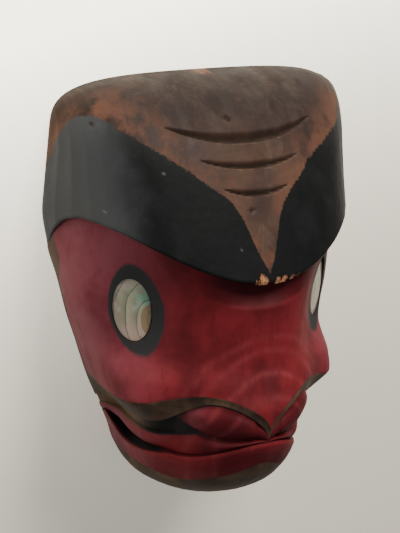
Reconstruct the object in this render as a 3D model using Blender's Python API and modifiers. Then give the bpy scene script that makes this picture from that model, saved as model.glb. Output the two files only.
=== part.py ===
"""A carved northwest coast mask lying on its back rim: hollow wooden body and two shell eye inlays.

Metres, +Z up. The face looks up, +Y points to the crown and +X is the viewer's right.
Places on the face are given by a drop, measured down from the crown along the mask, and by an
angle, measured round from the centre line (0 degrees) to the back rim (90 degrees).
"""

import math

import bmesh
import bpy
import numpy as np

MM = 0.001

# Overall sizes
LENGTH = 261.0 * MM
HALF_WIDTH = 102.0 * MM
BROW_RISE = 97.0 * MM
RIM_WIDTH = 11.0 * MM
WALL_THICKNESS = 17.0 * MM

# Units of the carving, which is drawn for a mask 261 long, 102 from its middle to its side and
# 97 high at the brow, and keeps its proportions on a mask of another size
DOWN = LENGTH / 261
ACROSS = HALF_WIDTH / 102
FORWARD = BROW_RISE / 97

# Forehead and brow
CROWN_CORNER = 34.0 * DOWN
CROWN_SAG = 2.5 * DOWN
CROWN_ROUNDING = 56.5 * DOWN
CROWN_FULLNESS = 0.45
BROW_TIP_DROP = 103.7 * DOWN
FOREHEAD_SLOPE = 0.555
FOREHEAD_BULGE = 1.6 * FORWARD
BROW_ARCH_HEIGHT = 26.8 * DOWN
BROW_ARCH_ANGLE = 68.0
BROW_TAIL_DROP = 30.0 * DOWN
BROW_UNDERCUT = 2.0 * DOWN
UNDERCUT_END_ANGLE = 70.0
BROW_WAIST = 7.0 * ACROSS
WAIST_START_DROP = 78.3 * DOWN
WAIST_SPAN = 36.5 * DOWN

# Hollow of the bridge, under the brow
BRIDGE_HEIGHT = 17.0 * DOWN
BRIDGE_DEPTH = 7.0 * FORWARD
BRIDGE_ANGLE = 20.0

# Three crescent grooves in the forehead: drop, half span in degrees, lift of the ends, width, depth
GROOVES = (
    (27.9 * DOWN, 29.5, 7.4 * DOWN, 6.2 * MM, 3.6 * MM),
    (41.6 * DOWN, 19.5, 3.6 * DOWN, 4.4 * MM, 2.8 * MM),
    (56.0 * DOWN, 13.2, 2.8 * DOWN, 4.2 * MM, 2.6 * MM),
)

# Eyes
EYE_DROP = 128.2 * DOWN
EYE_ANGLE = 50.3
EYE_TILT = 15.0
INLAY_WIDTH = 22.8 * MM
INLAY_HEIGHT = 38.6 * MM
INLAY_THICKNESS = 1.6 * MM
INLAY_RECESS = 0.9 * MM
INLAY_GAP = 0.3 * MM

# Upper lip: the line where its bevel starts, and the bevel's lower edge
LIP_TIP_DROP = 189.3 * DOWN
LIP_CREST_ANGLE = 20.0
LIP_CREST_RISE = 19.0 * DOWN
LIP_TROUGH_ANGLE = 44.0
LIP_TROUGH_FALL = 7.7 * DOWN
LIP_TAIL_FALL = 15.0 * DOWN
EDGE_TIP_DROP = 196.2 * DOWN
EDGE_CREST_ANGLE = 18.0
EDGE_CREST_RISE = 21.6 * DOWN
EDGE_TROUGH_ANGLE = 38.0
EDGE_TROUGH_FALL = 16.4 * DOWN
EDGE_TAIL_FALL = 17.0 * DOWN
BEVEL_SLOPE = 0.34
BEVEL_END_ANGLE = 60.0
LIP_THICKNESS = 5.5 * FORWARD

# Mouth line, inner lip and lobes
MOUTH_TIP_DROP = 197.8 * DOWN
MOUTH_FALL = 16.7 * DOWN
MOUTH_ANGLE = 30.0
MOUTH_TAIL_ANGLE = 60.0
MOUTH_TAIL_FALL = 7.0 * DOWN
MOUTH_DEPTH = 3.0 * FORWARD
SEAM = 0.01
INNER_LIP_START = 0.52
INNER_LIP_HEIGHT = 5.5 * FORWARD
LOBE_ANGLE = 29.0
LOBE_HEIGHT = 7.0 * FORWARD
LOBE_TIP_SHARE = 0.12
LOBE_SPAN_SHARE = 0.8
SLOT_START_ANGLE = 29.0
SLOT_END_ANGLE = 84.0
SLOT_HEIGHT = 12.5 * DOWN
SLOT_DEPTH = 7.0 * FORWARD
RIM_FADE_ANGLE = 62.0
RIM_FADE_SHARE = 0.8

# Jaw: its upper edge under the mouth line, and how far that edge is set in
JAW_EDGE_DROP = 1.2 * DOWN
JAW_EDGE_INSET = 0.8 * FORWARD

# Chin band
CHIN_BAND_DROP = 212.0 * DOWN
CHIN_BAND_FALL = 23.0 * DOWN
CHIN_BAND_ANGLE = 32.0
CHIN_BAND_TAIL = 9.0 * DOWN

# Hollow behind the face: how far its front may pass the brow's height, and where its chin starts
HOLLOW_REACH = 7.0 * FORWARD
HOLLOW_CHIN_DROP = 208.8 * DOWN
HOLLOW_ROUNDNESS = 0.9

# Half sections of the face at a drop from the crown: five guide points, out and up, in the
# carving's units
FACE_SECTIONS = (
    (76, ((0, 90), (42, 90), (74, 59), (92, 30), (101.5, 0))),
    (103, ((0, 92), (38, 92), (68, 53), (95, 40), (97, 0))),
    (126, ((0, 94), (34, 97), (63, 47), (98, 47), (88, 0))),
    (152, ((0, 98), (30, 103), (57, 61), (91, 54), (78.5, 0))),
    (168, ((0, 106), (28, 111), (58, 72), (90, 73), (71.5, 0))),
    (180, ((0, 114), (30, 115), (56, 71), (88, 84), (66.5, 0))),
    (197, ((0, 117), (28, 115), (52, 74), (70, 76), (59, 0))),
    (214, ((0, 113), (28, 112), (48, 76), (60, 60), (50, 0))),
    (231, ((0, 103), (26, 102), (42, 74), (52, 52), (41, 0))),
    (245, ((0, 86), (24, 85), (38, 60), (45, 34), (35, 0))),
    (255, ((0, 58), (16, 56), (29, 42), (33, 22), (27, 0))),
    (261, ((0, 0), (6, 0), (9, 0), (14, 0), (16, 0))),
)

# Mesh fineness of one half
COLUMNS = 26
FOREHEAD_ROWS = 11
HOLLOW_ROWS = 16
HOLLOW_COLUMNS = 14
EYE_SIDES = 40
GROOVE_STEPS = 16


def ease(share):
    """Cosine ease from 0 to 1 over a share that is held between 0 and 1."""
    return (1 - np.cos(math.pi * np.clip(share, 0, 1))) / 2


def smooth_between(stations, values, places):
    """Values at places along a smooth curve that doesn't overshoot its stations."""
    stations = np.asarray(stations, float)
    values = np.asarray(values, float)
    steps = np.diff(stations)
    rises = np.diff(values, axis=0) / steps.reshape((-1,) + (1,) * (values.ndim - 1))
    slopes = np.zeros_like(values)
    slopes[0] = rises[0]
    slopes[-1] = rises[-1]
    same_way = rises[:-1] * rises[1:] > 0
    together = np.where(same_way, rises[:-1] + rises[1:], 1)
    slopes[1:-1] = np.where(same_way, 2 * rises[:-1] * rises[1:] / together, 0)
    places = np.clip(places, stations[0], stations[-1])
    index = np.clip(np.searchsorted(stations, places, side="right") - 1, 0, len(steps) - 1)
    step = steps[index][:, None, None]
    share = ((places - stations[index]) / steps[index])[:, None, None]
    start = (1 + 2 * share) * (1 - share) ** 2 * values[index]
    start += share * (1 - share) ** 2 * step * slopes[index]
    end = share**2 * (3 - 2 * share) * values[index + 1]
    return start - share**2 * (1 - share) * step * slopes[index + 1] + end


def guide_weights(count):
    """Weights of five guide points on a clamped cubic curve, at count places along it."""
    knots = (0, 0, 0, 0, 0.5, 1, 1, 1, 1)
    places = np.linspace(0, 1, count)
    places[-1] = 1 - 1e-9
    weights = [((places >= a) & (places < b)).astype(float) for a, b in zip(knots, knots[1:])]
    for degree in (1, 2, 3):
        raised = []
        for i in range(len(weights) - 1):
            total = np.zeros(count)
            if knots[i + degree] > knots[i]:
                total += (places - knots[i]) / (knots[i + degree] - knots[i]) * weights[i]
            if knots[i + degree + 1] > knots[i + 1]:
                span = knots[i + degree + 1] - knots[i + 1]
                total += (knots[i + degree + 1] - places) / span * weights[i + 1]
            raised.append(total)
        weights = raised
    return np.stack(weights, axis=-1)


class Face:
    """The face's plain form before carving: its distance from the mask's long axis."""

    def __init__(self):
        stations = [drop * DOWN for drop, _ in FACE_SECTIONS]
        guides = [points for _, points in FACE_SECTIONS]
        self.drops = np.linspace(stations[0], stations[-1], 186)
        self.angles = np.linspace(0, 90, 181)
        curves = guide_weights(160) @ smooth_between(stations, guides, self.drops)
        out, up = curves[..., 0] * ACROSS, curves[..., 1] * FORWARD
        turned = np.degrees(np.arctan2(out, up + 1e-9))
        self.table = np.array(
            [np.interp(self.angles, turn, np.hypot(x, z)) for turn, x, z in zip(turned, out, up)]
        )
        self.end_width = out[-1, -1]

    def radius(self, drop, angle):
        """Distance from the long axis at a drop and an angle."""
        row = np.interp(drop, self.drops, np.arange(len(self.drops)))
        column = np.interp(angle, self.angles, np.arange(len(self.angles)))
        i = np.minimum(row.astype(int), len(self.drops) - 2)
        j = np.minimum(column.astype(int), len(self.angles) - 2)
        down, along = row - i, column - j
        near = self.table[i, j] * (1 - along) + self.table[i, j + 1] * along
        far = self.table[i + 1, j] * (1 - along) + self.table[i + 1, j + 1] * along
        return near * (1 - down) + far * down


FACE = Face()


def place(drop, angle, radius):
    """Points on one half of the mask from drops, angles and distances from the long axis."""
    turn = np.radians(angle)
    drop = np.broadcast_to(drop, np.shape(radius))
    return np.stack([radius * np.sin(turn), LENGTH / 2 - drop, radius * np.cos(turn)], axis=-1)


def brow_drop(angle):
    """The brow's lower edge: low at the centre, arched over the eye, curling down at the rim."""
    arch = np.sin(np.radians(90) * np.clip(angle / BROW_ARCH_ANGLE, 0, 1) ** 1.1) ** 2
    tail = np.clip((angle - BROW_ARCH_ANGLE) / (90 - BROW_ARCH_ANGLE), 0, 1) ** 2.2
    return BROW_TIP_DROP - BROW_ARCH_HEIGHT * arch + BROW_TAIL_DROP * tail


def forehead_rise(drop):
    """Height of the forehead on the centre line."""
    above = BROW_TIP_DROP - drop
    bulge = FOREHEAD_BULGE * np.sin(math.pi * np.clip(drop / BROW_TIP_DROP, 0, 1))
    rounding = (1 - np.clip(1 - drop / CROWN_ROUNDING, 0, 1) ** 3) ** (1 / 3)
    return (BROW_RISE - FOREHEAD_SLOPE * above + bulge) * rounding


def forehead(share, angle):
    """Points of the forehead and brow; share is 0 on the crown's rim and 1 on the brow's edge."""
    power = 2 + CROWN_FULLNESS * (1 - share) ** 2
    turn = np.arctan(np.tan(np.radians(np.minimum(angle, 89.999))) * BROW_RISE / HALF_WIDTH)
    turn = np.where(angle >= 90, math.pi / 2, turn)
    out = np.sin(turn) ** (2 / power)
    corner = CROWN_CORNER * (1 - (1 - out**4) ** 0.25) + CROWN_SAG * out**2
    drop = corner + (brow_drop(angle) - corner) * share
    waist = BROW_WAIST * ease((drop - WAIST_START_DROP) / WAIST_SPAN)
    up = np.where(angle >= 90, 0, np.cos(turn)) ** (2 / power)
    rise = forehead_rise(BROW_TIP_DROP * share)
    return np.stack([(HALF_WIDTH - waist) * out, LENGTH / 2 - drop, rise * up], axis=-1)


def lip_line(angle, tip, crest_angle, crest_rise, trough_angle, trough_fall, tail_fall):
    """A wavy lip line: a point at the centre, a crest, a trough at the corner and a falling tail."""
    crest = np.sin(np.radians(90) * np.clip(angle / crest_angle, 0, 1))
    trough = ease((angle - crest_angle) / (trough_angle - crest_angle))
    tail = np.clip((angle - trough_angle) / (90 - trough_angle), 0, 1) ** 1.2
    return tip - crest_rise * crest + trough_fall * trough + tail_fall * tail


def lip_top(angle):
    """The line where the red face meets the upper lip's bevel."""
    trough = (LIP_TROUGH_ANGLE, LIP_TROUGH_FALL)
    return lip_line(angle, LIP_TIP_DROP, LIP_CREST_ANGLE, LIP_CREST_RISE, *trough, LIP_TAIL_FALL)


def lip_edge(angle):
    """The lower edge of the upper lip's bevel."""
    trough = (EDGE_TROUGH_ANGLE, EDGE_TROUGH_FALL)
    return lip_line(angle, EDGE_TIP_DROP, EDGE_CREST_ANGLE, EDGE_CREST_RISE, *trough, EDGE_TAIL_FALL)


def mouth_line(angle):
    """The line between the inner lip and the jaw."""
    fall = np.sin(np.radians(90) * np.clip(angle / MOUTH_ANGLE, 0, 1)) ** 2
    tail = np.clip((angle - MOUTH_TAIL_ANGLE) / (90 - MOUTH_TAIL_ANGLE), 0, 1) ** 1.5
    return MOUTH_TIP_DROP + MOUTH_FALL * fall + MOUTH_TAIL_FALL * tail


def slot_height(angle):
    """Opening of the mouth slot along the jaw, in the shape of a crescent."""
    span = SLOT_END_ANGLE - SLOT_START_ANGLE
    share = np.clip((angle - SLOT_START_ANGLE) / span, 0, 1) ** 1.15
    return SLOT_HEIGHT * np.sin(math.pi * share)


def chin_band(angle):
    """The upper edge of the chin's band."""
    fall = np.sin(np.radians(90) * np.clip(angle / CHIN_BAND_ANGLE, 0, 1)) ** 1.3
    tail = np.clip((angle - CHIN_BAND_ANGLE) / (90 - CHIN_BAND_ANGLE), 0, 1)
    return CHIN_BAND_DROP + CHIN_BAND_FALL * fall + CHIN_BAND_TAIL * tail


def bevel_depth(angle):
    """How far the bevel's lower edge lies inside the plain face; nothing at the rim."""
    width = lip_edge(angle) - lip_top(angle)
    return BEVEL_SLOPE * width * (1 - ease((angle - BEVEL_END_ANGLE) / (90 - BEVEL_END_ANGLE)))


def lobe_end(angle):
    """Where the lobe ends, as a share of the way from the lip's edge to the mouth line."""
    return LOBE_TIP_SHARE + LOBE_SPAN_SHARE * np.clip(1 - (angle / LOBE_ANGLE) ** 2.5, 0, 1)


def rim_fade(angle):
    """Share of a carved depth that is left towards the back rim."""
    return 1 - RIM_FADE_SHARE * ease((angle - RIM_FADE_ANGLE) / (90 - RIM_FADE_ANGLE))


def lobe_height(angle, share):
    """Height of the lobe over the recess; share runs from the lobe's upper to its lower side."""
    ends = np.clip((LOBE_ANGLE - angle) / 7, 0, 1) ** 0.5 * np.clip(angle / 5, 0, 1)
    return LOBE_HEIGHT * ends * np.sqrt(np.clip(1 - (2 * share - 1) ** 2, 0, 1))


def mouth_rows(angle):
    """Shares of the way from the lip's edge to the mouth line, with the depth of each."""
    recess = bevel_depth(angle) + LIP_THICKNESS * rim_fade(angle) * np.clip(angle / 4, 0, 1)
    rows = [(np.full_like(angle, 1.5 * SEAM), recess - lobe_height(angle, 0.1))]
    lobe = lobe_end(angle)
    for share in (0.2, 0.4, 0.6, 0.8, 0.95):
        rows.append((lobe * share, recess - lobe_height(angle, share)))
    rows.append((lobe + SEAM, recess))
    start = np.maximum(INNER_LIP_START, lobe + 2 * SEAM)
    height = INNER_LIP_HEIGHT * rim_fade(angle) * np.clip(angle / 4, 0, 1)
    for share in (0.0, 0.2, 0.45, 0.75, 1.0):
        roll = height * math.sin(math.pi * share) ** 0.6
        rows.append((start + (1 - start) * share, recess - roll))
    return rows


def face_rows(angle):
    """Rows of points from under the brow to the chin, each at every angle of the half mask."""
    rows = []
    brow = brow_drop(angle)
    crease = brow + BRIDGE_HEIGHT
    bridge = BRIDGE_DEPTH * np.clip(1 - (angle / BRIDGE_ANGLE) ** 2, 0, 1) ** 1.5
    under = BROW_UNDERCUT * (1 - ease((angle - UNDERCUT_END_ANGLE) / (90 - UNDERCUT_END_ANGLE)))
    for share in (0.0, 0.3, 0.6, 0.85, 1.0):
        drop = brow - under + (crease - brow + under) * share
        scoop = bridge * (1 - share**2.5)
        rows.append(place(drop, angle, FACE.radius(drop, angle) - scoop))
    top = lip_top(angle)
    for share in np.linspace(0, 1, 11)[1:]:
        drop = crease + (top - crease) * share
        rows.append(place(drop, angle, FACE.radius(drop, angle)))
    edge = lip_edge(angle)
    for share in (0.5, 1.0):
        drop = top + (edge - top) * share
        rows.append(place(drop, angle, FACE.radius(drop, angle) - bevel_depth(angle) * share))
    mouth = mouth_line(angle)
    for share, depth in mouth_rows(angle):
        drop = edge + (mouth - edge) * share
        rows.append(place(drop, angle, FACE.radius(drop, angle) - depth))
    slot = slot_height(angle)
    groove = depth + MOUTH_DEPTH * rim_fade(angle) + SLOT_DEPTH * slot / SLOT_HEIGHT
    middle = mouth + JAW_EDGE_DROP / 2 + slot * 0.45
    rows.append(place(middle, angle, FACE.radius(middle, angle) - groove))
    lower = mouth + JAW_EDGE_DROP + slot
    rows.append(place(lower, angle, FACE.radius(lower, angle) - JAW_EDGE_INSET * rim_fade(angle)))
    band = chin_band(angle)
    for share in (0.12, 0.4, 0.7, 1.0):
        drop = lower + (band - lower) * share
        rows.append(place(drop, angle, FACE.radius(drop, angle)))
    for share in 1 - np.linspace(1, 0, 9)[1:-1] ** 1.5:
        drop = band + (LENGTH - band) * share
        rows.append(place(drop, angle, FACE.radius(drop, angle)))
    chin = np.linspace(0, FACE.end_width, len(angle))
    rows.append(np.stack([chin, np.full_like(chin, -LENGTH / 2), np.zeros_like(chin)], axis=-1))
    return rows


def forehead_rows(angle):
    """Rows of points from the crown's rim to the brow's edge."""
    shares = np.linspace(0, 1, FOREHEAD_ROWS + 1) ** 1.5
    return [forehead(share, angle) for share in shares]


def clean_scene():
    """Removes every object of the startup scene."""
    for obj in list(bpy.data.objects):
        bpy.data.objects.remove(obj, do_unlink=True)


def new_collection(name, parent=None):
    collection = bpy.data.collections.new(name)
    (parent or bpy.context.scene.collection).children.link(collection)
    return collection


def material(name, colour, roughness, metallic=0.0):
    mat = bpy.data.materials.new(name)
    mat.use_nodes = True
    shader = mat.node_tree.nodes["Principled BSDF"]
    shader.inputs["Base Color"].default_value = (*colour, 1.0)
    shader.inputs["Roughness"].default_value = roughness
    shader.inputs["Metallic"].default_value = metallic
    return mat


def object_from(mesh_builder, name, collection, mat=None):
    """Object whose mesh is filled by mesh_builder, with its faces turned outward."""
    mesh = bpy.data.meshes.new(name)
    grid = bmesh.new()
    mesh_builder(grid)
    bmesh.ops.recalc_face_normals(grid, faces=grid.faces)
    grid.to_mesh(mesh)
    grid.free()
    obj = bpy.data.objects.new(name, mesh)
    collection.objects.link(obj)
    if mat:
        mesh.materials.append(mat)
    return obj


def add_grid(grid, rows):
    """Adds rows of points joined by quads and returns their vertices."""
    made = [[grid.verts.new(point) for point in row] for row in rows]
    for upper, lower in zip(made, made[1:]):
        for j in range(len(upper) - 1):
            grid.faces.new((upper[j], upper[j + 1], lower[j + 1], lower[j]))
    return made


def build_outer_half(grid):
    """The carved front of one half, closed by a flat back and open at the centre line."""
    angle = 90 * np.linspace(0, 1, COLUMNS + 1) ** 1.2
    made = add_grid(grid, forehead_rows(angle) + face_rows(angle))
    outline = made[0] + [row[-1] for row in made[1:-1]] + made[-1][::-1]
    for vertex in outline:
        vertex.co.z = 0
    for row in made:
        row[0].co.x = 0
    grid.faces.new(outline)


def mirrored(obj):
    mirror = obj.modifiers.new("mirror", "MIRROR")
    mirror.use_axis = (True, False, False)
    mirror.merge_threshold = 0.00001
    return mirror


def hollow_section(drop):
    """Half width and height of the hollow at a drop from the crown."""
    top = RIM_WIDTH + CROWN_SAG / 2
    bottom = LENGTH - RIM_WIDTH
    corner = CROWN_CORNER + RIM_WIDTH
    head = (1 - np.clip((corner - drop) / (corner - top), 0, 1) ** 4) ** 0.25
    into_chin = np.clip((drop - HOLLOW_CHIN_DROP) / (bottom - HOLLOW_CHIN_DROP), 0, 1)
    chin = (1 - into_chin**3) ** 0.4
    waist = FACE.radius(np.clip(drop, FACE.drops[0], None), 90.0)
    width = (np.minimum(waist, HALF_WIDTH) - RIM_WIDTH) * head * chin
    front = np.where(drop < BROW_TIP_DROP, forehead_rise(drop), FACE.radius(drop, 0.0))
    height = (np.minimum(front, BROW_RISE + HOLLOW_REACH) - WALL_THICKNESS) * head * chin**1.2
    return width, height


def build_hollow_half(grid):
    """The smooth hollow behind the face, closed below the back rim."""
    top = RIM_WIDTH + CROWN_SAG / 2
    bottom = LENGTH - RIM_WIDTH
    shares = (1 - np.cos(math.pi * np.linspace(0, 1, HOLLOW_ROWS + 1))) / 2
    turn = np.linspace(0, math.pi / 2, HOLLOW_COLUMNS + 1)
    rows = []
    for drop in top + (bottom - top) * shares:
        width, height = hollow_section(np.clip(drop, top + 0.05 * MM, bottom - 0.05 * MM))
        out = width * np.sin(turn) ** HOLLOW_ROUNDNESS
        up = height * np.cos(turn) ** HOLLOW_ROUNDNESS
        row = np.stack([out, np.full_like(out, LENGTH / 2 - drop), up], axis=-1)
        rows.append(np.vstack([row, (row[-1, 0], row[-1, 1], -RIM_WIDTH)]))
    made = add_grid(grid, rows)
    for row in made:
        row[0].co.x = 0
    low = [row[-1] for row in made]
    ends = []
    for row in (made[0], made[-1]):
        ends.append(grid.verts.new((0, row[0].co.y, -RIM_WIDTH)))
        grid.faces.new([*row, ends[-1]])
    grid.faces.new([*low, ends[1], ends[0]])


def groove_builder(drop, half_span, lift, width, depth):
    """Returns the builder of one half of a crescent groove's cutter."""

    def build(grid):
        rows = []
        for share in np.linspace(0, 1, GROOVE_STEPS + 1):
            angle = half_span * share
            along = (drop - lift * share**2) / BROW_TIP_DROP
            here = forehead(along, angle)
            down = forehead(along + 0.01, angle) - here
            side = forehead(along, angle + 0.5) - here
            down = down / np.linalg.norm(down)
            normal = np.cross(side, down)
            normal = normal / np.linalg.norm(normal)
            if normal[2] < 0:
                normal = -normal
            size = max(1 - share**2, 0.03)
            half = width / 2 * size
            spread = half * (1 + MM / (depth * size))
            rows.append(
                (
                    here + normal * MM - down * spread,
                    here - normal * depth * size - down * half * 0.35,
                    here + normal * MM + down * spread,
                )
            )
        made = [[grid.verts.new(point) for point in row] for row in rows]
        for inner, outer in zip(made, made[1:]):
            for j in range(3):
                grid.faces.new((inner[j], inner[j - 1], outer[j - 1], outer[j]))
        grid.faces.new(made[-1])
        for vertex in made[0]:
            vertex.co.x = 0

    return build


def eye_frame():
    """Centre, outward normal, long axis and short axis of the eye on the +X side."""
    here, down, side = (
        place(drop, angle, FACE.radius(np.array(drop), np.array(angle)))
        for drop, angle in (
            (EYE_DROP, EYE_ANGLE),
            (EYE_DROP + 6 * MM, EYE_ANGLE),
            (EYE_DROP, EYE_ANGLE + 4),
        )
    )
    normal = np.cross(side - here, here - down)
    normal = normal / np.linalg.norm(normal)
    tilt = math.radians(EYE_TILT)
    long_axis = np.array((math.sin(tilt), math.cos(tilt), 0.0))
    long_axis -= normal * (long_axis @ normal)
    long_axis /= np.linalg.norm(long_axis)
    return here, normal, long_axis, np.cross(long_axis, normal)


def ellipse_prism(low, high, width, height, side):
    """Returns the builder of an elliptical plate across the eye's normal, on the side +1 or -1."""
    here, normal, long_axis, short_axis = eye_frame()

    def build(grid):
        rings = []
        for level in (low, high):
            ring = []
            for k in range(EYE_SIDES):
                turn = 2 * math.pi * k / EYE_SIDES
                across = short_axis * width / 2 * math.sin(turn)
                along = long_axis * height / 2 * math.cos(turn)
                point = here + normal * level + across + along
                ring.append(grid.verts.new((point[0] * side, point[1], point[2])))
            rings.append(ring)
        for k in range(EYE_SIDES):
            after = (k + 1) % EYE_SIDES
            grid.faces.new((rings[0][k], rings[0][after], rings[1][after], rings[1][k]))
        grid.faces.new(rings[0][::-1])
        grid.faces.new(rings[1])

    return build


def cut(body, cutter, name):
    cutter.hide_render = True
    cutter.display_type = "WIRE"
    boolean = body.modifiers.new(name, "BOOLEAN")
    boolean.operation = "DIFFERENCE"
    boolean.solver = "EXACT"
    boolean.object = cutter


def main():
    clean_scene()
    parts = new_collection("northwest_coast_mask")
    cutters = new_collection("cutters")
    wood = material("painted_wood", (0.16, 0.035, 0.03), 0.6)
    shell = material("abalone_shell", (0.55, 0.55, 0.47), 0.25)

    body = object_from(build_outer_half, "mask_body", parts, wood)
    mirrored(body)
    hollow = object_from(build_hollow_half, "hollow_cutter", cutters)
    mirrored(hollow)
    cut(body, hollow, "hollow")
    for index, groove in enumerate(GROOVES):
        cutter = object_from(groove_builder(*groove), f"groove_cutter_{index}", cutters)
        mirrored(cutter)
        cut(body, cutter, f"groove_{index}")

    face_level = -INLAY_RECESS
    for name, side in (("left", -1), ("right", 1)):
        socket = ellipse_prism(
            face_level - INLAY_THICKNESS - INLAY_GAP,
            8 * MM,
            INLAY_WIDTH + 2 * INLAY_GAP,
            INLAY_HEIGHT + 2 * INLAY_GAP,
            side,
        )
        cutter = object_from(socket, f"socket_cutter_{name}", cutters)
        cut(body, cutter, f"socket_{name}")
        plate = ellipse_prism(
            face_level - INLAY_THICKNESS, face_level, INLAY_WIDTH, INLAY_HEIGHT, side
        )
        object_from(plate, f"eye_inlay_{name}", parts, shell)


main()
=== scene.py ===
"""A carved and painted northwest coast mask that lies on its back rim, dressed over its solid model.

Metres, +Z up. The face looks up, +Y points to the crown and +X is the viewer's right. Places on
the mask are given by a drop, measured down from the crown, and by an angle measured round from
the centre line (0 degrees) to the back rim (90 degrees).
"""

import logging
import math
from collections.abc import Callable
from dataclasses import dataclass, field
from enum import Enum

import bpy
import numpy as np
from mathutils import Matrix, Vector
from mathutils.kdtree import KDTree


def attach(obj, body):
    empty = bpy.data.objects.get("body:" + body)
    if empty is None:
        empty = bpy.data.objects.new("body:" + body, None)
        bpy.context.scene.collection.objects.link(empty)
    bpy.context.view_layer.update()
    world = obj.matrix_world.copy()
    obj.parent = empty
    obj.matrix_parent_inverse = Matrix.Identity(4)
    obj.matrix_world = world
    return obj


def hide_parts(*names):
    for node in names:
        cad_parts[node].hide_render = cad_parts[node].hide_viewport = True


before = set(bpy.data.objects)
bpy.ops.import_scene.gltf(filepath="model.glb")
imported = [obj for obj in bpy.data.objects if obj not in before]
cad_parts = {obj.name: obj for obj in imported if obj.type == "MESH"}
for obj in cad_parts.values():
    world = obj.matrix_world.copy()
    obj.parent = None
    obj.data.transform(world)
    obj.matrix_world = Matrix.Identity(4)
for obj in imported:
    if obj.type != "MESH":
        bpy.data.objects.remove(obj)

LOG = logging.getLogger("mask")
MM = 0.001
Array = np.ndarray
Colour = tuple[float, float, float]
Socket = bpy.types.NodeSocket
ORIGIN: Colour = (0.0, 0.0, 0.0)
TABLE_SIZE = 4096
EYE_SIDES = 96


def ease(share: Array) -> Array:
    """Cosine ease from 0 to 1 over a share that is held between 0 and 1."""
    return (1 - np.cos(math.pi * np.clip(share, 0, 1))) / 2


def smooth_between(stations: Array, values: Array, places: Array) -> Array:
    """Reads a smooth curve that doesn't overshoot its stations.

    Args:
        stations: Rising positions along the curve.
        values: One set of points for each station.
        places: Where the curve is read.

    Returns:
        One set of points for each place.
    """
    steps = np.diff(stations)
    rises = np.diff(values, axis=0) / steps[:, None, None]
    slopes = np.zeros_like(values)
    slopes[0], slopes[-1] = rises[0], rises[-1]
    same_way = rises[:-1] * rises[1:] > 0
    together = np.where(same_way, rises[:-1] + rises[1:], 1)
    slopes[1:-1] = np.where(same_way, 2 * rises[:-1] * rises[1:] / together, 0)
    index = np.clip(np.searchsorted(stations, places, side="right") - 1, 0, len(steps) - 1)
    step = steps[index][:, None, None]
    share = ((places - stations[index]) / steps[index])[:, None, None]
    start = (1 + 2 * share) * (1 - share) ** 2 * values[index]
    start += share * (1 - share) ** 2 * step * slopes[index]
    end = share**2 * (3 - 2 * share) * values[index + 1]
    return start - share**2 * (1 - share) * step * slopes[index + 1] + end


def guide_weights(count: int) -> Array:
    """Weights of five guide points on a clamped cubic curve, at count places along it.

    Args:
        count: How many places are read.

    Returns:
        Five weights for each place.
    """
    knots = (0, 0, 0, 0, 0.5, 1, 1, 1, 1)
    places = np.linspace(0, 1, count)
    places[-1] = 1 - 1e-9
    weights = [((places >= a) & (places < b)).astype(float) for a, b in zip(knots, knots[1:])]
    for degree in (1, 2, 3):
        raised = []
        for i in range(len(weights) - 1):
            total = np.zeros(count)
            if knots[i + degree] > knots[i]:
                total += (places - knots[i]) / (knots[i + degree] - knots[i]) * weights[i]
            if knots[i + degree + 1] > knots[i + 1]:
                span = knots[i + degree + 1] - knots[i + 1]
                total += (knots[i + degree + 1] - places) / span * weights[i + 1]
            raised.append(total)
        weights = raised
    return np.stack(weights, axis=-1)


@dataclass
class SeededNoise:
    """Smooth noise and gouge cuts for hand work, the same on each run."""

    seed: int = 7
    table: Array = field(init=False)

    def __post_init__(self) -> None:
        """Fills the table of random values."""
        self.table = np.random.default_rng(self.seed).random(TABLE_SIZE)

    def value(self, cell: Array) -> Array:
        """Random value from 0 to 1 of whole-numbered cells, whose last axis is their place.

        Args:
            cell: Whole-numbered places.

        Returns:
            One number for each cell.
        """
        keys = (73856093, 19349663, 83492791)
        mixed = np.zeros(cell.shape[:-1], np.int64)
        for axis in range(cell.shape[-1]):
            mixed ^= cell[..., axis].astype(np.int64) * keys[axis]
        return self.table[mixed & (TABLE_SIZE - 1)]

    def smooth(self, points: Array, size: float) -> Array:
        """Noise from -1 to 1 whose blobs are about size wide.

        Args:
            points: Places, in metres.
            size: How wide it is.

        Returns:
            One height for each point.
        """
        base = np.floor(points / size)
        part = points / size - base
        part = part * part * (3 - 2 * part)
        total = np.zeros(points.shape[:-1])
        for corner in np.ndindex(*(2,) * points.shape[-1]):
            offset = np.array(corner)
            weight = np.prod(np.where(offset == 1, part, 1 - part), axis=-1)
            total += weight * self.value(base + offset)
        return total * 2 - 1

    def cuts(self, places: Array, shift: int) -> Array:
        """Height of overlapping gouge cuts: 0 in the middle of a cut, up to about 1 on a ridge.

        Args:
            places: Two numbers for each point, in cut widths and cut lengths.
            shift: Gives each use its own cuts.

        Returns:
            One height for each point.
        """
        base = np.floor(places)
        nearest = np.full(places.shape[:-1], 9.0)
        for offset in np.ndindex(3, 3):
            cell = base + np.array(offset) - 1
            jitter = np.stack([self.value(cell + shift), self.value(cell + shift + 57)], axis=-1)
            away = places - cell - 0.15 - 0.7 * jitter
            nearest = np.minimum(nearest, (away**2).sum(-1))
        return np.clip(nearest, 0, 1)


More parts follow.
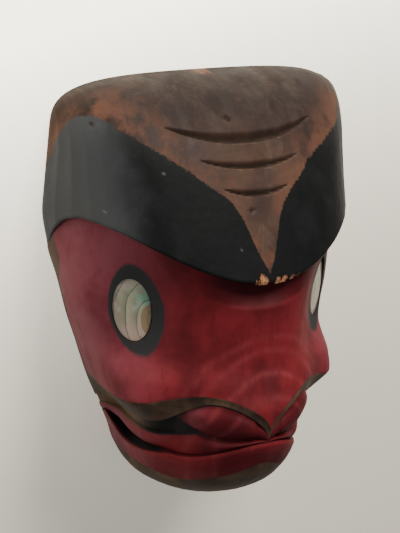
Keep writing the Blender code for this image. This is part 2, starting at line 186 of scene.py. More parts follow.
@dataclass
class MaskForm:
    """Sizes and carving lines of the mask, in metres and degrees; drops run from the crown."""

    length: float = 261.0 * MM
    half_width: float = 102.0 * MM
    rim_width: float = 11.0 * MM
    wall: float = 17.0 * MM
    crown_corner: float = 34.0 * MM
    crown_squareness: float = 4.4
    crown_sag: float = 2.5 * MM
    crown_rounding: float = 56.5 * MM
    crown_fullness: float = 0.45
    brow_tip_drop: float = 103.7 * MM
    brow_rise: float = 97.0 * MM
    forehead_slope: float = 0.555
    forehead_bulge: float = 1.6 * MM
    brow_arch_height: float = 26.8 * MM
    brow_arch_angle: float = 68.0
    brow_tail_drop: float = 30.0 * MM
    brow_undercut: float = 2.0 * MM
    undercut_end_angle: float = 70.0
    brow_waist: float = 7.0 * MM
    bridge_height: float = 17.0 * MM
    bridge_depth: float = 7.0 * MM
    bridge_angle: float = 20.0
    eye_drop: float = 128.2 * MM
    eye_angle: float = 50.3
    eye_tilt: float = 15.0
    inlay_width: float = 22.8 * MM
    inlay_height: float = 38.6 * MM
    inlay_thickness: float = 1.6 * MM
    inlay_recess: float = 0.9 * MM
    inlay_gap: float = 0.3 * MM
    lip_top_line: tuple[float, ...] = (0.1893, 20.0, 0.019, 44.0, 0.0077, 0.015)
    lip_edge_line: tuple[float, ...] = (0.1962, 18.0, 0.0216, 38.0, 0.0190, 0.017)
    crest_fullness: float = 0.6
    bevel_slope: float = 0.34
    bevel_end_angle: float = 60.0
    lip_thickness: float = 5.5 * MM
    mouth_tip_drop: float = 197.8 * MM
    mouth_fall: float = 16.7 * MM
    mouth_angle: float = 30.0
    mouth_tail_angle: float = 60.0
    mouth_tail_fall: float = 7.0 * MM
    mouth_sag: float = 5.8 * MM
    mouth_depth: float = 1.0 * MM
    seam: float = 0.5 * MM
    inner_lip_start: float = 0.52
    inner_lip_height: float = 5.5 * MM
    inner_lip_foot: float = 0.65
    lobe_angle: float = 29.0
    lobe_rise: float = 7.0 * MM
    lobe_tip_share: float = 0.12
    lobe_span_share: float = 0.72
    slot_start_angle: float = 29.0
    slot_end_angle: float = 79.0
    slot_opening: float = 6.8 * MM
    slot_depth: float = 7.0 * MM
    rim_fade_angle: float = 62.0
    rim_fade_share: float = 0.8
    jaw_inset: float = 0.8 * MM
    hollow_reach: float = 7 * MM
    chin_band_line: tuple[float, ...] = (0.212, 0.023, 32.0, 0.009)
    grooves: tuple[tuple[float, ...], ...] = (
        (0.0279, 29.5, 0.0060, 0.0062, 0.0036),
        (0.0416, 19.5, 0.0024, 0.0044, 0.0028),
        (0.0560, 13.2, 0.0022, 0.0042, 0.0026),
    )
    sections: tuple[tuple[int, tuple[tuple[float, float], ...]], ...] = (
        (76, ((0, 90), (42, 90), (74, 59), (92, 30), (101.5, 0))),
        (103, ((0, 92), (38, 92), (68, 53), (95, 40), (97, 0))),
        (126, ((0, 94), (34, 97), (63, 47), (98, 47), (88, 0))),
        (152, ((0, 98), (30, 103), (57, 61), (91, 54), (78.5, 0))),
        (168, ((0, 106), (28, 111), (58, 72), (90, 73), (71.5, 0))),
        (180, ((0, 114), (30, 115), (56, 71), (88, 84), (66.5, 0))),
        (197, ((0, 117), (28, 115), (52, 74), (70, 76), (59, 0))),
        (214, ((0, 113), (28, 112), (48, 76), (60, 60), (50, 0))),
        (231, ((0, 103), (26, 102), (42, 74), (52, 52), (41, 0))),
        (245, ((0, 86), (24, 85), (38, 60), (45, 34), (35, 0))),
        (255, ((0, 58), (16, 56), (29, 42), (33, 22), (27, 0))),
        (261, ((0, 0), (6, 0), (9, 0), (14, 0), (16, 0))),
    )

    def __post_init__(self) -> None:
        """Tabulates the face's distance from the long axis by drop and angle."""
        stations = np.array([drop * MM for drop, _ in self.sections])
        guides = np.array([points for _, points in self.sections], float)
        self.drops = np.linspace(stations[0], stations[-1], 371)
        self.angles = np.linspace(0, 90, 181)
        curves = guide_weights(240) @ smooth_between(stations, guides, self.drops) * MM
        out, up = curves[..., 0], curves[..., 1]
        turned = np.degrees(np.arctan2(out, up + 1e-9))
        read = [np.interp(self.angles, turn, np.hypot(x, z)) for turn, x, z in zip(turned, out, up)]
        self.table = np.array(read)
        self.chin_width = out[-1, -1]

    def radius(self, drop: Array, angle: Array) -> Array:
        """Distance of the plain face from the long axis.

        Args:
            drop: Distance down from the crown.
            angle: Degrees round from the centre line.

        Returns:
            One distance for each point.
        """
        row = np.interp(drop, self.drops, np.arange(len(self.drops)))
        column = np.interp(angle, self.angles, np.arange(len(self.angles)))
        i = np.minimum(row.astype(int), len(self.drops) - 2)
        j = np.minimum(column.astype(int), len(self.angles) - 2)
        down, along = row - i, column - j
        near = self.table[i, j] * (1 - along) + self.table[i, j + 1] * along
        far = self.table[i + 1, j] * (1 - along) + self.table[i + 1, j + 1] * along
        return near * (1 - down) + far * down

    def place(self, drop: Array, angle: Array, radius: Array) -> Array:
        """Points of one half from drops, angles and distances from the long axis.

        Args:
            drop: Distance down from the crown.
            angle: Degrees round from the centre line.
            radius: Distance from the long axis.

        Returns:
            One point for each distance.
        """
        turn = np.radians(angle)
        drop = np.broadcast_to(drop, np.shape(radius))
        up = radius * np.cos(turn)
        return np.stack([radius * np.sin(turn), self.length / 2 - drop, up], axis=-1)

    def brow_drop(self, angle: Array) -> Array:
        """The brow's lower edge.

        Args:
            angle: Degrees round from the centre line.

        Returns:
            One drop for each angle.
        """
        arch = np.sin(np.radians(90) * np.clip(angle / self.brow_arch_angle, 0, 1) ** 1.1) ** 2
        past = (angle - self.brow_arch_angle) / (90 - self.brow_arch_angle)
        tail = np.clip(past, 0, 1) ** 2.2
        return self.brow_tip_drop - self.brow_arch_height * arch + self.brow_tail_drop * tail

    def forehead_rise(self, drop: Array) -> Array:
        """Height of the forehead on the centre line.

        Args:
            drop: Distance down from the crown.

        Returns:
            One height for each drop.
        """
        above = self.brow_tip_drop - drop
        swell = np.sin(math.pi * np.clip(drop / self.brow_tip_drop, 0, 1))
        rounding = (1 - np.clip(1 - drop / self.crown_rounding, 0, 1) ** 3) ** (1 / 3)
        rise = self.brow_rise - self.forehead_slope * above + self.forehead_bulge * swell
        return rise * rounding

    def forehead(self, share: Array, angle: Array) -> Array:
        """Points of the forehead; share is 0 on the crown's rim and 1 on the brow's edge.

        Args:
            share: Share of the way, from 0 to 1.
            angle: Degrees round from the centre line.

        Returns:
            One point for each angle.
        """
        power = 2 + self.crown_fullness * (1 - share) ** 2
        tangent = np.tan(np.radians(np.minimum(angle, 89.999)))
        turn = np.arctan(tangent * self.brow_rise / self.half_width)
        turn = np.where(angle >= 90, math.pi / 2, turn)
        out = np.sin(turn) ** (2 / power)
        square = self.crown_squareness
        corner = self.crown_corner * (1 - (1 - out**square) ** (1 / square)) + self.crown_sag * out**2
        drop = corner + (self.brow_drop(angle) - corner) * share
        waist = self.brow_waist * ease((drop - 0.3 * self.length) / (0.14 * self.length))
        up = np.where(angle >= 90, 0, np.cos(turn)) ** (2 / power)
        rise = self.forehead_rise(self.brow_tip_drop * share)
        across = (self.half_width - waist) * out
        return np.stack([across, self.length / 2 - drop, rise * up], axis=-1)

    def lip_line(self, angle: Array, line: tuple[float, ...]) -> Array:
        """Drop of a wavy lip line: a point at the centre, a crest, a trough and a falling tail.

        Args:
            angle: Degrees round from the centre line.
            line: Its drops and angles.

        Returns:
            One drop for each angle.
        """
        tip, crest_angle, crest_rise, trough_angle, trough_fall, tail_fall = line
        crest = np.sin(np.radians(90) * np.clip(angle / crest_angle, 0, 1)) ** self.crest_fullness
        trough = ease((angle - crest_angle) / (trough_angle - crest_angle))
        tail = np.clip((angle - trough_angle) / (90 - trough_angle), 0, 1) ** 1.2
        return tip - crest_rise * crest + trough_fall * trough + tail_fall * tail

    def lip_top(self, angle: Array) -> Array:
        """Where the red face meets the upper lip's bevel."""
        return self.lip_line(angle, self.lip_top_line)

    def lip_edge(self, angle: Array) -> Array:
        """The lower edge of the upper lip's bevel."""
        return self.lip_line(angle, self.lip_edge_line)

    def mouth_line(self, angle: Array) -> Array:
        """The line between the inner lip and the jaw.

        Args:
            angle: Degrees round from the centre line.

        Returns:
            One drop for each angle.
        """
        fall = np.sin(np.radians(90) * np.clip(angle / self.mouth_angle, 0, 1)) ** 2
        past = (angle - self.mouth_tail_angle) / (90 - self.mouth_tail_angle)
        tail = np.clip(past, 0, 1) ** 1.5
        sag = self.mouth_sag * self.slot_curve(angle)
        return self.mouth_tip_drop + self.mouth_fall * fall + self.mouth_tail_fall * tail + sag

    def slot_curve(self, angle: Array) -> Array:
        """The crescent of the mouth slot: 0 at both ends and 1 at its widest.

        Args:
            angle: Degrees round from the centre line.

        Returns:
            One share for each angle.
        """
        span = self.slot_end_angle - self.slot_start_angle
        share = np.clip((angle - self.slot_start_angle) / span, 0, 1) ** 1.15
        return np.clip(np.sin(math.pi * share), 0, 1)

    def slot_height(self, angle: Array) -> Array:
        """Opening of the mouth slot, in the shape of a crescent."""
        return self.slot_opening * self.slot_curve(angle)

    def inner_lip_roll(self, share: float) -> float:
        """Height of the inner lip's roll from 0 to 1, with a foot on its lower side.

        Args:
            share: Share of the way, from 0 to 1.

        Returns:
            The roll's height.
        """
        if share < 0.5:
            return math.sin(math.pi * share) ** 0.6
        return 1 - (1 - self.inner_lip_foot) * (2 * share - 1) ** 2

    def chin_band(self, angle: Array) -> Array:
        """The upper edge of the chin's band.

        Args:
            angle: Degrees round from the centre line.

        Returns:
            One drop for each angle.
        """
        tip, fall, turn, tail = self.chin_band_line
        falling = np.sin(np.radians(90) * np.clip(angle / turn, 0, 1)) ** 1.3
        return tip + fall * falling + tail * np.clip((angle - turn) / (90 - turn), 0, 1)

    def left_after(self, angle: Array, end: float) -> Array:
        """Share that eases from 1 at an angle to 0 at the back rim."""
        return 1 - ease((angle - end) / (90 - end))

    def bevel_depth(self, angle: Array) -> Array:
        """How far the bevel's lower edge lies inside the plain face."""
        width = self.lip_edge(angle) - self.lip_top(angle)
        return self.bevel_slope * width * self.left_after(angle, self.bevel_end_angle)

    def rim_fade(self, angle: Array) -> Array:
        """Share of a carved depth that is left towards the back rim."""
        return 1 - self.rim_fade_share * (1 - self.left_after(angle, self.rim_fade_angle))

    def recess_depth(self, angle: Array) -> Array:
        """Depth of the recess behind the upper lip."""
        step = self.lip_thickness * self.rim_fade(angle) * np.clip(angle / 4, 0, 1)
        return self.bevel_depth(angle) + step

    def lobe_end(self, angle: Array) -> Array:
        """Where the lobe ends, as a share of the way from the lip's edge to the mouth line."""
        left = np.clip(1 - (angle / self.lobe_angle) ** 2.5, 0, 1)
        return self.lobe_tip_share + self.lobe_span_share * left

    def lobe_height(self, angle: Array, share: Array) -> Array:
        """Height of the lobe over the recess; share runs from its upper to its lower side.

        Args:
            angle: Degrees round from the centre line.
            share: Share of the way, from 0 to 1.

        Returns:
            One height for each angle.
        """
        start = np.clip(angle / 5, 0, 1)
        ends = np.clip((self.lobe_angle - angle) / 7, 0, 1) ** 0.5 * start
        return self.lobe_rise * ends * np.sqrt(np.clip(1 - (2 * share - 1) ** 2, 0, 1))

    def hollow_ends(self) -> tuple[float, float]:
        """Drops of the hollow's upper and lower end."""
        return self.rim_width + self.crown_sag / 2, self.length - self.rim_width

    def hollow_section(self, drop: Array) -> tuple[Array, Array]:
        """Half width and height of the hollow at a drop.

        Args:
            drop: Distance down from the crown.

        Returns:
            The half widths and the heights.
        """
        top, bottom = self.hollow_ends()
        corner = self.crown_corner + self.rim_width
        head = (1 - np.clip((corner - drop) / (corner - top), 0, 1) ** 4) ** 0.25
        chin_start = 0.8 * self.length
        chin = (1 - np.clip((drop - chin_start) / (bottom - chin_start), 0, 1) ** 3) ** 0.4
        waist = self.radius(np.maximum(drop, self.drops[0]), np.full_like(drop, 90.0))
        width = (np.minimum(waist, self.half_width) - self.rim_width) * head * chin
        face = self.radius(drop, np.zeros_like(drop))
        front = np.where(drop < self.brow_tip_drop, self.forehead_rise(drop), face)
        height = (np.minimum(front, self.brow_rise + self.hollow_reach) - self.wall) * head * chin**1.2
        return width, height

    def eye_frame(self) -> tuple[Array, Array, Array, Array]:
        """Centre, outward normal, long axis and short axis of the eye on the +X side.

        Returns:
            The centre and the three directions.
        """
        places = (
            (self.eye_drop, self.eye_angle),
            (self.eye_drop + 6 * MM, self.eye_angle),
            (self.eye_drop, self.eye_angle + 4),
        )
        read = [self.place(d, a, self.radius(np.array(d), np.array(a))) for d, a in places]
        here, down, side = read
        normal = np.cross(side - here, here - down)
        normal /= np.linalg.norm(normal)
        tilt = math.radians(self.eye_tilt)
        long_axis = np.array((math.sin(tilt), math.cos(tilt), 0.0))
        long_axis -= normal * (long_axis @ normal)
        long_axis /= np.linalg.norm(long_axis)
        return here, normal, long_axis, np.cross(long_axis, normal)


class Paint(Enum):
    """The mask's hand-mixed colours, as linear red, green and blue."""

    STAIN = (0.074, 0.040, 0.026)
    STAIN_DARK = (0.034, 0.0195, 0.0160)
    STAIN_RED = (0.112, 0.046, 0.027)
    STAIN_PALE = (0.112, 0.073, 0.049)
    STAIN_CROWN = (0.013, 0.0070, 0.0054)
    BLACK = (0.0030, 0.0033, 0.0034)
    # Rubbed black, also the painted sheen on the black flanks.
    BLACK_RUBBED = (0.047, 0.049, 0.051)
    RED = (0.145, 0.0110, 0.0145)
    # Deep red, also used as the painted shade on the red face.
    RED_DEEP = (0.048, 0.0030, 0.0048)
    # Dusty red, also the painted sheen on the red flanks.
    RED_DUSTY = (0.165, 0.042, 0.055)
    RED_RUBBED = (0.240, 0.040, 0.045)
    OLIVE = (0.095, 0.056, 0.033)
    OLIVE_DARK = (0.031, 0.0190, 0.0130)
    # Near-black painted shade for the recess and the mouth slot.
    RECESS = (0.0085, 0.0082, 0.0078)
    RING = (0.024, 0.0235, 0.0235)
    SCUFF = (0.120, 0.118, 0.112)
    CHIP = (0.450, 0.205, 0.100)
    BARE = (0.210, 0.125, 0.070)
    BARE_DARK = (0.090, 0.048, 0.027)


class NodeKit:
    """Builds the nodes of one material with short calls."""

    def __init__(self, name: str) -> None:
        """Starts a material with one Principled shader.

        Args:
            name: The material's name.
        """
        self.material = bpy.data.materials.new(name)
        self.material.use_nodes = True
        self.tree = self.material.node_tree
        self.shader = self.tree.nodes["Principled BSDF"]
        self.column = 0

    def add(self, kind: str) -> bpy.types.Node:
        """Adds a node to the left of the shader.

        Args:
            kind: The node's type.

        Returns:
            The new node.
        """
        node = self.tree.nodes.new(kind)
        self.column += 1
        node.location = (-200 * (self.column % 9) - 300, -180 * (self.column // 9))
        return node

    def feed(self, socket: Socket, value: "Socket | float | Colour") -> None:
        """Links a socket, or sets its own value.

        Args:
            socket: The socket that is fed.
            value: What it reads or is given.
        """
        if isinstance(value, bpy.types.NodeSocket):
            self.tree.links.new(value, socket)
        elif isinstance(value, tuple) and len(value) == 3 and socket.type == "RGBA":
            socket.default_value = (*value, 1.0)
        else:
            socket.default_value = value

    def attribute(self, name: str) -> Socket:
        """Reads one of the piece's own numbers.

        Args:
            name: Its name.

        Returns:
            The number.
        """
        node = self.add("ShaderNodeAttribute")
        node.attribute_name = name
        return node.outputs["Fac"]

    def math(self, operation: str, first: "Socket | float", second: "Socket | float" = 0.0) -> Socket:
        """Result of a Math node.

        Args:
            operation: Name of the operation.
            first: The first value.
            second: The second value.

        Returns:
            The result.
        """
        node = self.add("ShaderNodeMath")
        node.operation = operation
        self.feed(node.inputs[0], first)
        self.feed(node.inputs[1], second)
        return node.outputs[0]

    def times(self, first: "Socket | float", second: "Socket | float") -> Socket:
        """Product of two values."""
        return self.math("MULTIPLY", first, second)

    def plus(self, first: "Socket | float", second: "Socket | float") -> Socket:
        """Sum of two values."""
        return self.math("ADD", first, second)

    def between(
        self, value: Socket, low: float, high: float, start: float = 0.0, end: float = 1.0
    ) -> Socket:
        """Smooth step of a value from start to end as it goes from low to high.

        Args:
            value: What it reads or is given.
            low: Where it starts.
            high: Where it ends.
            start: What it gives at the start.
            end: What it gives at the end.

        Returns:
            The result.
        """
        node = self.add("ShaderNodeMapRange")
        node.interpolation_type = "SMOOTHSTEP"
        self.feed(node.inputs["Value"], value)
        names = ("From Min", "From Max", "To Min", "To Max")
        for key, number in zip(names, (low, high, start, end)):
            node.inputs[key].default_value = number
        return node.outputs["Result"]

    def mix(self, share: "Socket | float", first: "Socket | Colour", second: "Socket | Colour") -> Socket:
        """Colour between two colours.

        Args:
            share: Share of the way, from 0 to 1.
            first: The first value.
            second: The second value.

        Returns:
            The colour.
        """
        node = self.add("ShaderNodeMix")
        node.data_type = "RGBA"
        node.clamp_factor = True
        self.feed(node.inputs[0], share)
        self.feed(node.inputs[6], first)
        self.feed(node.inputs[7], second)
        return node.outputs[2]

    def over(
        self, under: "Socket | Colour", colour: "Socket | Colour", value: Socket, *limits: float
    ) -> Socket:
        """Lays a colour over another where a value lies between its limits."""
        return self.mix(self.between(value, *limits), under, colour)

    def coordinates(self, scale: Colour, turn: Colour = ORIGIN, shift: Colour = ORIGIN) -> Socket:
        """Object coordinates, stretched, turned and shifted.

        Args:
            scale: How often the pattern repeats.
            turn: How far it is turned.
            shift: How far it is moved.

        Returns:
            The coordinates.
        """
        source = self.add("ShaderNodeTexCoord")
        node = self.add("ShaderNodeMapping")
        self.feed(node.inputs["Vector"], source.outputs["Object"])
        node.inputs["Location"].default_value = shift
        node.inputs["Rotation"].default_value = turn
        node.inputs["Scale"].default_value = scale
        return node.outputs["Vector"]

    def cloud(
        self, stretch: Colour, detail: float, rough: float, twist: float = 0.0, shift: Colour = ORIGIN
    ) -> Socket:
        """Noise on the object's coordinates, stretched and shifted."""
        return self.noise(self.coordinates(stretch, shift=shift), 1.0, detail, rough, twist)

    def noise(
        self, vector: Socket, scale: float, detail: float, rough: float, twist: float = 0.0
    ) -> Socket:
        """Value of a Noise texture, from about 0.25 to 0.75.

        Args:
            vector: The coordinates.
            scale: How often the pattern repeats.
            detail: How many finer layers it has.
            rough: How strong they are.
            twist: How far it is distorted.

        Returns:
            The noise.
        """
        node = self.add("ShaderNodeTexNoise")
        self.feed(node.inputs["Vector"], vector)
        node.inputs["Scale"].default_value = scale
        node.inputs["Detail"].default_value = detail
        node.inputs["Roughness"].default_value = rough
        node.inputs["Distortion"].default_value = twist
        return node.outputs["Fac"]

    def bump(self, height: Socket, strength: float, distance: float) -> Socket:
        """Normal of a height.

        Args:
            height: The height.
            strength: How strong it is.
            distance: Its greatest height.

        Returns:
            The normal.
        """
        node = self.add("ShaderNodeBump")
        node.inputs["Strength"].default_value = strength
        node.inputs["Distance"].default_value = distance
        self.feed(node.inputs["Height"], height)
        return node.outputs["Normal"]


@dataclass(frozen=True)
class CarvedWoodFinish:
    """Solid wood: growth rings round the log's middle, with fine grain along the mask."""

    ring_width: float = 4.2 * MM
    log_middle: tuple[float, float] = (0.012, 0.030)

    def rings(self, kit: NodeKit) -> Socket:
        """Growth rings of the log, 0 to 1, wavy as in real wood.

        Args:
            kit: The material's nodes.

        Returns:
            The rings.
        """
        across, down = self.log_middle
        vector = kit.coordinates((1.0, 0.05, 1.0), shift=(across, 0.0, down))
        node = kit.add("ShaderNodeTexWave")
        node.wave_type = "RINGS"
        node.rings_direction = "Y"
        node.wave_profile = "SAW"
        kit.feed(node.inputs["Vector"], vector)
        node.inputs["Scale"].default_value = 1 / self.ring_width / 3.2
        node.inputs["Distortion"].default_value = 2.2
        node.inputs["Detail"].default_value = 2.0
        node.inputs["Detail Scale"].default_value = 0.6
        return node.outputs["Fac"]

    def fibres(self, kit: NodeKit) -> Socket:
        """Fine grain that runs along the mask."""
        return kit.cloud((900.0, 60.0, 900.0), 4.0, 0.6, 0.4)


@dataclass(frozen=True)
class PaintedFaceFinish:
    """Stained brow, black wings, red face, olive lips and charcoal eye rings over carved wood, with painted
    shade and sheen.
    """

    wood: CarvedWoodFinish = CarvedWoodFinish()
    ragged: float = 1.6
    specular: float = 0.12

    def stained(self, kit: NodeKit, rings: Socket, fibres: Socket) -> Socket:
        """Colour of the stained wood, with painted shade over the crown's middle.

        Args:
            kit: The material's nodes.
            rings: The growth rings.
            fibres: The fine grain.

        Returns:
            The colour.
        """
        cloud = kit.cloud((24.0, 16.0, 24.0), 3.0, 0.55)
        colour = kit.mix(kit.between(cloud, 0.35, 0.65), Paint.STAIN_DARK.value, Paint.STAIN.value)
        streak = kit.cloud((110.0, 18.0, 110.0), 4.0, 0.65, 0.6)
        colour = kit.over(colour, Paint.STAIN_PALE.value, streak, 0.50, 0.72, 0.0, 0.4)
        colour = kit.over(colour, Paint.STAIN_DARK.value, rings, 0.55, 1.0, 0.0, 0.2)
        patch = kit.cloud((40.0, 24.0, 40.0), 3.0, 0.6, 0.4, (3.0, 1.0, 2.0))
        colour = kit.over(colour, Paint.STAIN_RED.value, patch, 0.50, 0.66, 0.0, 0.3)
        # Painted shade darkens the crown's middle.
        crown = kit.times(kit.attribute("crown"), kit.between(streak, 0.35, 0.7, 1.0, 0.75))
        colour = kit.mix(crown, colour, Paint.STAIN_CROWN.value)
        return kit.mix(kit.between(fibres, 0.5, 0.75, 0.0, 0.3), colour, Paint.STAIN_DARK.value)

    def red(self, kit: NodeKit, strokes: Socket) -> Socket:
        """Colour of the red paint: painted shade under the brow, dusty paint and painted sheen on the
        flanks, rubbed on the rings.

        Args:
            kit: The material's nodes.
            strokes: The brush strokes.

        Returns:
            The colour.
        """
        cloud = kit.cloud((26.0, 20.0, 26.0), 4.0, 0.6)
        colour = kit.mix(kit.between(cloud, 0.34, 0.62, 0.25, 1.0), Paint.RED_DEEP.value, Paint.RED.value)
        # Painted shade: the red darkens under the brow, on the jaw and inside the mouth.
        shade = kit.between(kit.attribute("shade"), 0.0, 1.0, 0.0, 0.9)
        colour = kit.mix(shade, colour, Paint.RED_DEEP.value)
        # Dusty paint and painted sheen, lighter on the flanks and on the lobe.
        worn_and_sheen = kit.between(cloud, 0.4, 0.6, 0.45, 0.95)
        dusty = kit.math("MAXIMUM", kit.attribute("flank"), kit.attribute("dust"))
        flank = kit.times(dusty, worn_and_sheen)
        colour = kit.mix(flank, colour, Paint.RED_DUSTY.value)
        arch = kit.times(kit.attribute("arch"), kit.between(strokes, 0.36, 0.62, 0.12, 0.42))
        colour = kit.mix(arch, colour, Paint.RED_RUBBED.value)
        return kit.mix(kit.between(strokes, 0.56, 0.74, 0.0, 0.35), colour, Paint.RED_DEEP.value)

    def build(self) -> bpy.types.Material:
        """The material of the mask's carved front.

        Returns:
            What it built.
        """
        kit = NodeKit("painted_carving")
        rings = self.wood.rings(kit)
        fibres = self.wood.fibres(kit)
        ragged = kit.cloud((420.0, 420.0, 420.0), 4.0, 0.65)
        edge = kit.times(kit.math("SUBTRACT", ragged, 0.5), self.ragged * 2.2)

        colour = self.stained(kit, rings, fibres)
        black_by = kit.plus(kit.attribute("black"), edge)
        rubbed = kit.cloud((60.0, 45.0, 60.0), 4.0, 0.6)
        glow = kit.times(kit.between(black_by, -16.0, -1.0), kit.between(rubbed, 0.40, 0.58))
        colour = kit.mix(kit.times(glow, 0.7), colour, Paint.STAIN_RED.value)
        # Rubbed black paint with painted sheen that grows towards the flanks.
        flank = kit.attribute("flank")
        worn_and_sheen = kit.plus(kit.times(flank, 0.45), 0.1)
        worn_and_sheen = kit.times(kit.between(rubbed, 0.4, 0.8), worn_and_sheen)
        wing = kit.mix(worn_and_sheen, Paint.BLACK.value, Paint.BLACK_RUBBED.value)
        wing = kit.over(wing, Paint.BLACK_RUBBED.value, flank, 0.3, 1.0, 0.0, 0.8)
        specks = kit.cloud((130.0, 130.0, 130.0), 2.0, 0.5)
        wing = kit.over(wing, Paint.SCUFF.value, specks, 0.765, 0.79, 0.0, 0.7)
        colour = kit.over(colour, wing, black_by, -0.5, 0.5)

        strokes = kit.cloud((150.0, 38.0, 150.0), 4.0, 0.62, 0.5)
        face = self.red(kit, strokes)
        side = kit.plus(kit.attribute("side"), edge)
        face = kit.mix(kit.between(side, -0.5, 0.5), self.stained(kit, rings, fibres), face)
        lip = kit.plus(kit.attribute("lip"), kit.times(edge, 0.5))
        olive = kit.mix(kit.between(rubbed, 0.35, 0.7), Paint.OLIVE_DARK.value, Paint.OLIVE.value)
        face = kit.over(face, olive, lip, -0.3, 0.3)
        # Painted shade: near-black deep in the recess behind the upper lip, olive on the flanks.
        recess = kit.mix(kit.between(flank, 0.12, 0.6), Paint.RECESS.value, Paint.OLIVE.value)
        face = kit.over(face, recess, kit.attribute("edge"), -0.1, 0.1)
        face = kit.mix(kit.attribute("mouth_red"), face, self.red(kit, strokes))
        # Painted shadow in the mouth slot and under the upper lip.
        face = kit.mix(kit.attribute("gap"), face, Paint.RECESS.value)
        band = kit.plus(kit.attribute("band"), edge)
        face = kit.over(face, olive, band, -0.5, 0.5)
        ring = kit.plus(kit.attribute("ring"), kit.times(edge, 0.5))
        face = kit.over(face, Paint.RING.value, ring, -0.9, 0.9)
        colour = kit.mix(kit.attribute("face"), colour, face)

        chip = kit.mix(kit.between(fibres, 0.4, 0.65), Paint.CHIP.value, Paint.STAIN_RED.value)
        colour = kit.mix(kit.attribute("pale"), colour, chip)
        colour = kit.mix(kit.attribute("scuff"), colour, Paint.SCUFF.value)
        # Painted shade and dirt darken the grooves and pits.
        colour = kit.mix(kit.times(kit.attribute("dark"), 0.9), colour, Paint.OLIVE_DARK.value)
        kit.feed(kit.shader.inputs["Base Color"], colour)

        gloss = kit.between(rubbed, 0.3, 0.7, 0.52, 0.7)
        kit.feed(kit.shader.inputs["Roughness"], gloss)
        kit.shader.inputs["Specular IOR Level"].default_value = self.specular
        grain = kit.times(fibres, 0.6)
        relief = kit.plus(kit.times(strokes, 0.5), grain)
        brush = kit.cloud((260.0, 90.0, 260.0), 4.0, 0.6)
        relief = kit.plus(relief, kit.times(brush, 0.8))
        kit.feed(kit.shader.inputs["Normal"], kit.bump(relief, 0.35, 0.35 * MM))
        return kit.material


@dataclass(frozen=True)
class BareWoodFinish:
    """Unpainted, darkened wood of the back rim and of the hollow."""

    wood: CarvedWoodFinish = CarvedWoodFinish()

    def build(self) -> bpy.types.Material:
        """The material of the mask's back.

        Returns:
            What it built.
        """
        kit = NodeKit("bare_wood")
        rings = self.wood.rings(kit)
        fibres = self.wood.fibres(kit)
        cloud = kit.cloud((18.0, 12.0, 18.0), 4.0, 0.6)
        colour = kit.mix(kit.between(cloud, 0.3, 0.7), Paint.BARE_DARK.value, Paint.BARE.value)
        colour = kit.over(colour, Paint.BARE_DARK.value, rings, 0.5, 1.0, 0.0, 0.5)
        colour = kit.over(colour, Paint.STAIN_DARK.value, fibres, 0.5, 0.8, 0.0, 0.35)
        kit.feed(kit.shader.inputs["Base Color"], colour)
        kit.shader.inputs["Roughness"].default_value = 0.72
        relief = kit.plus(kit.times(rings, 0.4), fibres)
        kit.feed(kit.shader.inputs["Normal"], kit.bump(relief, 0.5, 0.4 * MM))
        return kit.material


@dataclass(frozen=True)
class ShellFinish:
    """Polished abalone shell: khaki, green, pink and ochre layers with dark growth lines."""

    seed: float = 0.0
    layer: float = 6.4

    def build(self, name: str) -> bpy.types.Material:
        """The material of one inlay.

        Args:
            name: The material's name.

        Returns:
            The finished material.
        """
        kit = NodeKit(name)
        joined = kit.add("ShaderNodeCombineXYZ")
        kit.feed(joined.inputs[0], kit.attribute("across"))
        kit.feed(joined.inputs[1], kit.attribute("along"))
        joined.inputs[2].default_value = self.seed
        place = joined.outputs[0]
        wobble = kit.noise(place, 0.07, 2.0, 0.4)
        reach = kit.plus(kit.attribute("reach"), kit.times(wobble, 6.0))
        layers = kit.math("FRACT", kit.math("DIVIDE", reach, self.layer))
        cloud = kit.noise(place, 0.13, 4.0, 0.6, 0.8)
        fine = kit.noise(place, 1.1, 5.0, 0.7, 2.5)
        colour = kit.mix(kit.between(layers, 0.0, 1.0), (0.185, 0.172, 0.108), (0.345, 0.300, 0.205))
        high = kit.between(kit.attribute("along"), -4.0, 6.0)
        right = kit.between(kit.attribute("across"), 4.0, -4.0, 0.2, 1.0)
        green = kit.times(kit.times(kit.between(cloud, 0.36, 0.54), high), right)
        colour = kit.mix(kit.times(green, 0.8), colour, (0.210, 0.345, 0.205))
        teal = kit.times(kit.between(kit.attribute("reach"), 15.0, 10.0), high)
        colour = kit.mix(kit.times(teal, 0.45), colour, (0.140, 0.310, 0.225))
        cream = kit.between(kit.attribute("along"), 11.0, 16.0, 0.0, 0.85)
        colour = kit.mix(cream, colour, (0.460, 0.370, 0.270))
        colour = kit.over(colour, (0.185, 0.150, 0.110), kit.attribute("across"), 5.5, 8.5, 0.0, 0.6)
        low = kit.between(kit.attribute("along"), -3.0, -16.0, 0.0, 0.8)
        colour = kit.mix(low, colour, (0.400, 0.270, 0.215))
        blush = kit.noise(place, 0.19, 3.0, 0.6, 0.5)
        colour = kit.over(colour, (0.400, 0.300, 0.250), blush, 0.54, 0.66, 0.0, 0.6)
        ragged_reach = kit.plus(kit.attribute("reach"), kit.times(wobble, 4.0))
        ochre = kit.between(ragged_reach, 9.9, 9.4)
        colour = kit.mix(kit.times(ochre, 0.85), colour, (0.205, 0.135, 0.058))
        line = kit.times(kit.between(layers, 0.10, 0.02), 0.8)
        colour = kit.mix(line, colour, (0.040, 0.042, 0.032))
        colour = kit.over(colour, (0.100, 0.105, 0.075), fine, 0.5, 0.7, 0.0, 0.4)
        kit.feed(kit.shader.inputs["Base Color"], colour)
        kit.feed(kit.shader.inputs["Roughness"], kit.between(fine, 0.3, 0.7, 0.2, 0.4))
        kit.shader.inputs["Coat Weight"].default_value = 0.35
        kit.shader.inputs["Coat Roughness"].default_value = 0.12
        relief = kit.plus(kit.times(layers, 0.6), kit.times(fine, 0.4))
        kit.feed(kit.shader.inputs["Normal"], kit.bump(relief, 0.3, 0.15 * MM))
        return kit.material


